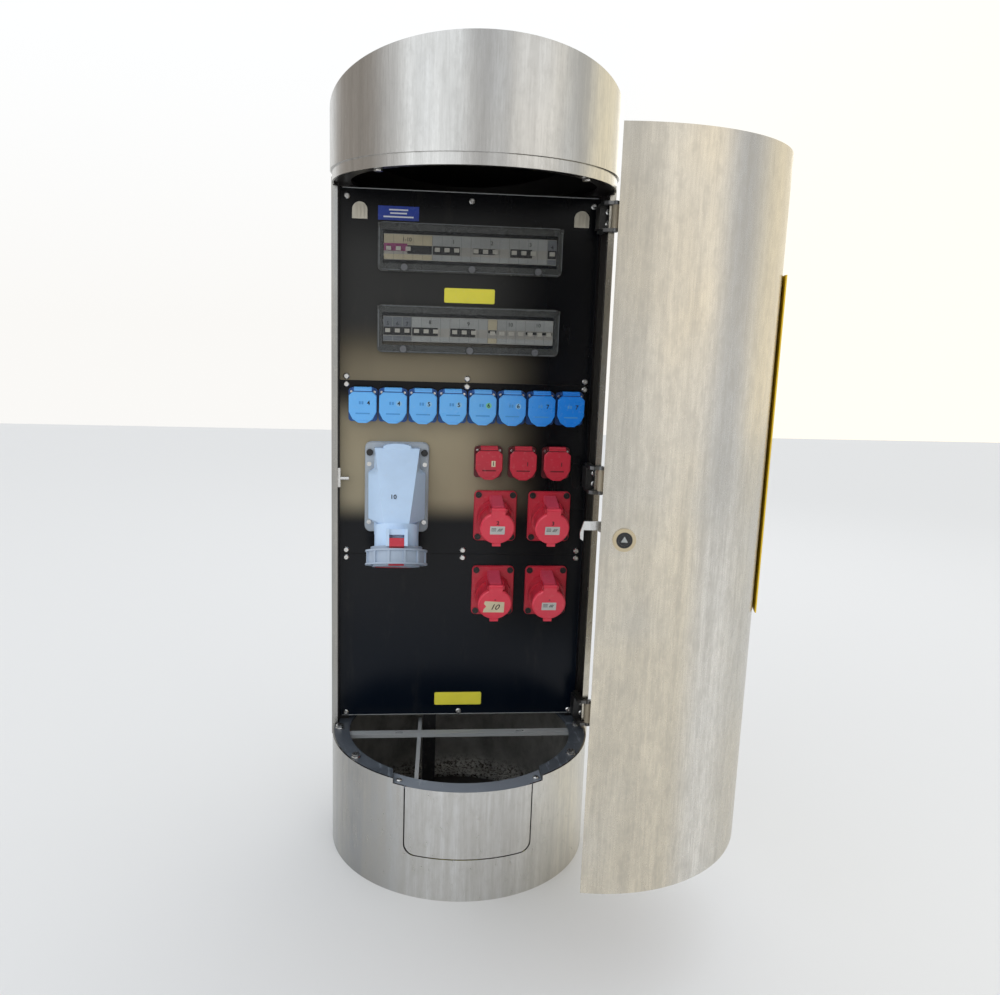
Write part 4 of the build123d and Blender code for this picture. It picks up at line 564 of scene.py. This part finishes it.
def number(name, text, place, size, material, body, slot="black_plastic", slant=0.0, bold=0.0):
    """Printed digits as a thin mesh, centred on their frame."""
    curve = bpy.data.curves.new(name, "FONT")
    curve.body = text
    curve.size = size * MM
    curve.align_x = "CENTER"
    curve.align_y = "CENTER"
    curve.shear = slant
    curve.offset = bold * MM
    curve.extrude = PRINT_T / 2 * MM
    curve.resolution_u = 3
    holder = bpy.data.objects.new(name + "_curve", curve)
    bpy.context.scene.collection.objects.link(holder)
    bpy.context.view_layer.update()
    mesh = bpy.data.meshes.new_from_object(holder.evaluated_get(bpy.context.evaluated_depsgraph_get()))
    bpy.data.objects.remove(holder)
    mesh.name = name
    add_object(name, mesh, material, body, shift(place, 0, 0, PRINT_T / 2))


# Labels and lips of the panels
def make_labels(m):
    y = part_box("panel_top")[0].y * 1000
    x, z, w = BLUE_LABEL
    piece("blue_label", [(rectangle(w, BLUE_LABEL_H), front(x, y, z), 0.3)],
          m["label_blue"], "cabinet")
    bars = [(rectangle(bar_w, 2.6), front(x, y - 0.3, z + dz), 0.1) for bar_w, dz in BLUE_LABEL_BARS]
    piece("blue_label_bars", bars, m["white"], "cabinet")
    plates = [(rectangle(plate_w, YELLOW_LABEL_H, 3), front(plate_x, y, plate_z), 0.4)
              for plate_x, plate_z, plate_w in YELLOW_LABELS]
    piece("yellow_labels", plates, m["label_yellow"], "cabinet")
    low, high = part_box("panel_bottom")[0].z * 1000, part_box("panel_top")[1].z * 1000
    lips = [(rectangle(PANEL_LIP_W, 1.2), front(0, y, low + 0.6), 0.5),
            (rectangle(PANEL_LIP_W, 1.5), front(0, y, high - 0.8), 0.5)]
    piece("panel_lips", lips, m["bar"], "cabinet")


# Faces of the circuit breakers
def device_edges(devices):
    """Left and right edge of each device, left to right."""
    x = -sum(devices) * MODULE_W / 2
    edges = []
    for count in devices:
        edges.append((x, x + count * MODULE_W))
        x += count * MODULE_W
    return edges


def breaker_face(row):
    """Height of a row's middle and the plane of its devices' faces, in millimetres."""
    lo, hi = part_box(row)
    return (lo.z + hi.z) * 500, lo.y * 1000 + TOGGLE_OUT


def breaker_row(m, row, devices, faces, bands, numbers):
    z, y = breaker_face(row)
    edges = device_edges(devices)
    skins = {}
    for (x0, x1), look in zip(edges, faces):
        for rise, height in (SKIN, FOOT):
            outline = rectangle(x1 - x0 - SKIN_GAP, height, 0.8)
            plate = (outline, front((x0 + x1) / 2, y, z + rise), 0.25)
            skins.setdefault(look, []).append(plate)
    for look, shapes in skins.items():
        piece(row + "_" + look, shapes, m[look], "cabinet")
    blacks = [(rectangle(x1 - x0, top - low, 0.8), front((x0 + x1) / 2, y, z + (top + low) / 2), 0.5)
              for x0, x1, top, low in bands]
    piece(row + "_bands", blacks, m["black"], "cabinet")
    left = edges[0][0]
    grooves = [(rectangle(0.5, GROOVE_H), front(left + i * MODULE_W, y - 0.25, z), 0.06)
               for i in range(1, MODULES)]
    piece(row + "_grooves", grooves, m["dim_face"], "cabinet")
    for i, (text, x, rise) in enumerate(numbers):
        number("%s_number_%d" % (row, i + 1), text, front(x, y - 0.3, z + rise), 9.5, m["ink"],
               "cabinet", bold=0.12)


def make_breaker_faces(m):
    dim, pale, beige = "dim_face", "pale_face", "beige_face"
    breaker_row(m, "breakers_upper", UPPER_DEVICES, (beige, pale, pale, pale, dim),
                [(-115, -71, *BAND), (-69, -20, *BAND), (4, 44, 2, -8), (72, 112, *BAND),
                 (141, 157, *BAND)],
                [("1-10", -116, 13), ("1", -32, 12), ("2", 38, 12), ("3", 108.7, 12), ("4", 149, 9)])
    breaker_row(m, "breakers_lower", LOWER_DEVICES, (dim, dim, dim, pale, pale, beige, pale, pale),
                [(-157, -106, *BAND), (-104, -57, *BAND), (-34, 12, *BAND), (36, 51, 2, -3),
                 (106, 156, 1, -4)],
                [("5", -148.7, 9), ("6", -131.2, 9), ("7", -113.7, 9), ("8", -71.6, 13), ("9", -1, 12),
                 ("10", 77, 13), ("10", 129, 13)])
    z, y = breaker_face("breakers_upper")
    x, w, h = MAIN_PINK
    piece("breaker_pink", [(rectangle(w, h, 0.8), front(x, y, z - 0.5), 0.5)], m["magenta"],
          "cabinet")


# Painted highlights: bright edges round the window covers, the lower ones clear of the knobs
def make_cover_edge_highlights(m):
    for row in ("upper", "lower"):
        lo, hi = (corner * 1000 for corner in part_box("window_cover_" + row))
        x, z = (lo.x + hi.x) / 2, (lo.z + hi.z) / 2
        w, h = hi.x - lo.x, hi.z - lo.z
        knobs = [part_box("knob_%s_%d" % (row, i)) for i in (1, 2, 3)]
        starts = [lo.x + 8] + [right.x * 1000 + 1.5 for left, right in knobs]
        ends = [left.x * 1000 - 1.5 for left, right in knobs] + [hi.x - 8]
        edges = [(rectangle(w - 16, 0.7), front(x, lo.y, z + h / 2 - 0.5), 0.15)]
        edges += [(rectangle(b - a, 0.7), front((a + b) / 2, lo.y, z - h / 2 + 0.5), 0.15)
                  for a, b in zip(starts, ends)]
        edges += [(rectangle(0.9, h - 16), front(x + side * (w / 2 - 1.6), lo.y, z), 0.15)
                  for side in (-1, 1)]
        piece("cover_edge_highlights_" + row, edges, m["dim_face"], "cover_" + row)


# Numbers and small marks on the lids
def add_small_socket_trim(m, node, text, x, y, z, half_h, look):
    """Number, the line under the hinge barrel and the two corner screws of one socket."""
    line = [(rectangle(34, 1.6, 0.5), front(x, y + 1, z + half_h + 0.9), 0.2)]
    piece(node + "_line", line, m[look + "_line"], node)
    screws = [(circle(2.3, 12), front(x + side * SCREW_SIDE, SCREW_SEAT, z + half_h - 1), 0.8)
              for side in (-1, 1)]
    piece(node + "_screws", screws, m["screw"], "cabinet")
    dx, dz = (10.6, 8) if look == "blue" else (8, 3)
    number(node + "_number", text, front(x + dx, y - 0.15, z + dz), 11, m["ink"], node, bold=0.2)


def small_lid_face(node, half_h):
    """Middle of a small lid's front face, in millimetres."""
    lo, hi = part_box(node)
    return (lo.x + hi.x) * 500, lo.y * 1000 + LID_TAB, lo.z * 1000 + half_h


def make_small_lid_marks(m):
    for i in range(8):
        node = "blue_lid_%d" % (i + 1)
        x, y, z = small_lid_face(node, BLUE_HALF_H)
        marks = [(rectangle(3.6, 5.6, 0.8), front(x + dx, y, z + 8.4), 0.3) for dx in (-5.2, -0.4)]
        marks.append((rectangle(26, 2.4, 0.8), front(x, y, z - 11), 0.3))
        piece(node + "_mark", marks, m["blue_mark"], node)
        if 0 < i < 6:
            disc = m["grass_disc"] if i == 4 else m["sky_disc"]
            piece(node + "_disc", [(circle(5.4), front(x + 10.6, y, z + 8), 0.15)], disc, node)
        add_small_socket_trim(m, node, str(4 + i // 2), x, y, z, BLUE_HALF_H, "blue")
    for i in range(3):
        node = "small_red_lid_%d" % (i + 1)
        x, y, z = small_lid_face(node, SMALL_RED_HALF_H)
        if i == 0:
            piece("red_mark_plate", [(rectangle(7.5, 11), front(x + 8, y, z + 3), 0.15)], m["paper"],
                  node)
        piece(node + "_mark", [(rectangle(26, 2.4, 0.8), front(x, y, z - 10), 0.3)], m["red_line"],
              node)
        add_small_socket_trim(m, node, "1", x, y, z, SMALL_RED_HALF_H, "red")


def large_socket(i):
    """Middle of large red socket i's flange, left to right and upright, in millimetres."""
    lo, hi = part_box("large_red_lid_%d" % i)
    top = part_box("large_red_sockets")[1].z * 1000
    return (lo.x + hi.x) * 500, top - LARGE_HALF_H - (i - 1) // 2 * LARGE_ROW_STEP


def large_lid_face(i):
    """Frame on a large lid's front face: +X right, +Y up along the lid."""
    x, z = large_socket(i)
    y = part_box("panel_middle")[0].y * 1000 - LARGE_FLANGE_T
    turn = Matrix.Rotation(math.radians(90 + LARGE_TILT), 4, "X")
    start = Matrix.Translation((x * MM, y * MM, (z - LARGE_SAG) * MM))
    return start @ turn @ Matrix.Translation((0, 0, LARGE_FACE * MM))


def make_large_lid_marks(m):
    torn = [(-20, -12), (-19, -5), (-14.5, 1), (-19.5, 7), (-18, 13), (19.5, 12), (20.5, -11)]
    for i, text in enumerate("23--", 1):
        node = "large_red_lid_%d" % i
        face = large_lid_face(i)
        number("large_red_number_%d" % i, text, shift(face, 0, 12), 11, m["ink"], node, bold=0.2)
        if i == 3:
            piece("paper_label", [(torn, shift(face, -2, -5, 0, -2), 0.25)], m["paper"], node)
            number("paper_number", "10", shift(face, -1, -5, 0.25, -2), 17, m["pen"], node,
                   slant=0.35, bold=0.1)
            continue
        piece("tag_%d" % i, [(rectangle(28, 17, 1.2), shift(face, 0, -3), 0.4)], m["tag"], node)
        bars = [(rectangle(9, 1.0), shift(face, -7, 1.2 - 2.6 * k, 0.4), 0.08) for k in range(3)]
        bars += [(rectangle(0.9, 7), shift(face, 2 + 2.0 * k, -2, 0.4, -30), 0.08) for k in range(4)]
        piece("tag_print_%d" % i, bars, m["ink"], node)


# Hinge ridges on the large red sockets
def make_ridges(m):
    face_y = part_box("panel_middle")[0].y * 1000 - LARGE_FLANGE_T
    bm = bmesh.new()
    for i in range(1, 5):
        x, z = large_socket(i)
        profile = [(face_y + 0.5, z + 41), (RIDGE_FRONT_Y, z + 27), (RIDGE_FRONT_Y, z + 20),
                   (face_y + 0.5, z + 24)]
        sides = [[bm.verts.new(((x + half) * MM, py * MM, pz * MM)) for py, pz in profile]
                 for half in (-RIDGE_HALF_W, RIDGE_HALF_W)]
        bm.faces.new(sides[0])
        bm.faces.new(sides[1][::-1])
        for j in range(4):
            k = (j + 1) % 4
            bm.faces.new((sides[0][j], sides[1][j], sides[1][k], sides[0][k]))
    bmesh.ops.recalc_face_normals(bm, faces=bm.faces)
    bmesh.ops.bevel(bm, geom=list(bm.edges), offset=1.0 * MM, segments=2, affect="EDGES")
    add_bmesh("hinge_ridges", bm, m["red_ridge"], "cabinet")


def make_outlet_marks(m):
    lo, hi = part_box("outlet_socket")
    x = (lo.x + hi.x) * 500 + OUTLET_NUMBER_SHIFT
    slope = Matrix.Rotation(math.radians(OUTLET_NUMBER_SLOPE), 4, "X")
    place = front(x, OUTLET_NUMBER_Y, OUTLET_NUMBER_Z) @ slope
    number("outlet_number", "10", shift(place, 0, 0, 0.2), 12, m["ink"], "cabinet", bold=0.1)


# Dark seat round the lock's core and the pale key recess in it
def make_lock_marks(m):
    pivot = Vector(DOOR_PIVOT) * MM
    door_middle = pivot - Matrix.Rotation(math.radians(DOOR_OPEN), 3, "Z") @ pivot
    core = [v.co for v in NODES["lock_core"].data.vertices]
    middle = sum(core, Vector()) / len(core)
    out = (middle - door_middle) * Vector((1, 1, 0))
    out.normalize()
    middle -= out * middle.dot(out)
    turn = out.to_track_quat("Z", "Y").to_matrix().to_4x4()
    body_face = max(v.co.dot(out) for v in NODES["lock_body"].data.vertices)
    core_face = max(point.dot(out) for point in core)
    inner, outer = circle(LOCK_SEAT_INNER_R, 36), circle(LOCK_SEAT_OUTER_R, 36)
    seat = Matrix.Translation(middle + out * body_face) @ turn
    sectors = [([inner[i - 1], outer[i - 1], outer[i], inner[i]], seat, 0.15) for i in range(36)]
    piece("lock_seat", sectors, m["black"], "door")
    recess = shift(Matrix.Translation(middle + out * core_face) @ turn, 0, 0, turn=90)
    piece("lock_key_recess", [(circle(KEY_RECESS_R, 3), recess, 0.2)], m["pale_face"], "lock")


# Studio
def area(name, place, aim, size, power, color):
    data = bpy.data.lights.new(name, "AREA")
    data.shape = "RECTANGLE"
    data.size, data.size_y = size
    data.energy = power
    data.color = color
    lamp = bpy.data.objects.new(name, data)
    lamp.location = place
    lamp.rotation_euler = (Vector(aim) - Vector(place)).to_track_quat("-Z", "Y").to_euler()
    bpy.context.scene.collection.objects.link(lamp)


def stage_plate(name, points, material):
    """A flat polygon that is part of the stage, its corners in metres."""
    mesh = bpy.data.meshes.new(name)
    mesh.from_pydata(points, [], [list(range(len(points)))])
    plate = bpy.data.objects.new(name, mesh)
    bpy.context.scene.collection.objects.link(plate)
    mesh.materials.append(material)


def make_sky():
    """An even sky, darker to the left, warmer behind the right side, with soft dark bands ahead."""
    world = bpy.data.worlds.new("studio")
    bpy.context.scene.world = world
    world.use_nodes = True
    s = Nodes(world.node_tree, "Generated")
    ramp = s.node("ShaderNodeValToRGB")
    ground, zenith = ramp.color_ramp.elements
    ground.position, ground.color = 0.0, (0.80, 0.79, 0.77, 1)
    zenith.position, zenith.color = 0.75, (0.88, 0.92, 0.97, 1)
    s.feed(ramp.inputs["Fac"], s.axis(2))
    color = ramp.outputs["Color"]
    for aim, low, high, tint in (((-0.94, 0.342, 0), 0.72, 0.95, (0.36, 0.33, 0.30, 1)),
                                 ((0.82, 0.57, 0), 0.7, 0.98, (1.0, 0.93, 0.78, 1))):
        dot = s.node("ShaderNodeVectorMath", operation="DOT_PRODUCT")
        s.feed(dot.inputs[0], s.coord)
        s.feed(dot.inputs[1], aim)
        color = s.mix(s.span(dot.outputs["Value"], low, high), color, tint)
    banding = s.noise(3.4, (1, 1, 0.25), 2.0)
    ahead = s.span(s.axis(1), 0.25, -0.15, kind="LINEAR")
    weight = s.times(s.span(banding, 0.42, 0.62, 0.0, 0.42), ahead)
    back = s.tree.nodes["Background"]
    s.feed(back.inputs["Color"], s.mix(weight, color, (0.34, 0.33, 0.32, 1)))
    back.inputs["Strength"].default_value = 1.2


def make_studio():
    make_sky()
    area("key", (-2.2, -3.0, 2.4), (0, 0, 0.8), (3.0, 3.6), 17, (0.88, 0.94, 1.0))
    area("fill", (2.6, -3.0, 2.0), (0.2, 0, 0.7), (3.0, 3.6), 15, (1, 0.94, 0.84))
    area("rim", (1.4, 2.6, 2.6), (0, 0, 0.9), (2.0, 2.0), 10, (0.95, 0.96, 1))
    half = 7.0
    stage_plate("floor", [(-half, -half, 0), (half, -half, 0), (half, half, 0), (-half, half, 0)],
                Shader("floor", (0.78, 0.775, 0.765, 1), 0.7).mat)
    # Near black disc on the ground inside the base: earth, darkened further as painted shade
    stage_plate("earth_and_shade_patch", [(x * MM, y * MM, 0.0006) for x, y in circle(205)],
                painted("soil", (0.02, 0.018, 0.016, 1), (0.10, 0.09, 0.08, 1), 0.7, 0.5))


def main():
    make_camera()
    make_studio()
    m = make_materials()
    dress_nodes(m)
    make_labels(m)
    make_cover_edge_highlights(m)
    make_lock_marks(m)
    make_breaker_faces(m)
    make_small_lid_marks(m)
    make_large_lid_marks(m)
    make_ridges(m)
    make_outlet_marks(m)
    bpy.context.scene.view_settings.view_transform = "Standard"


main()
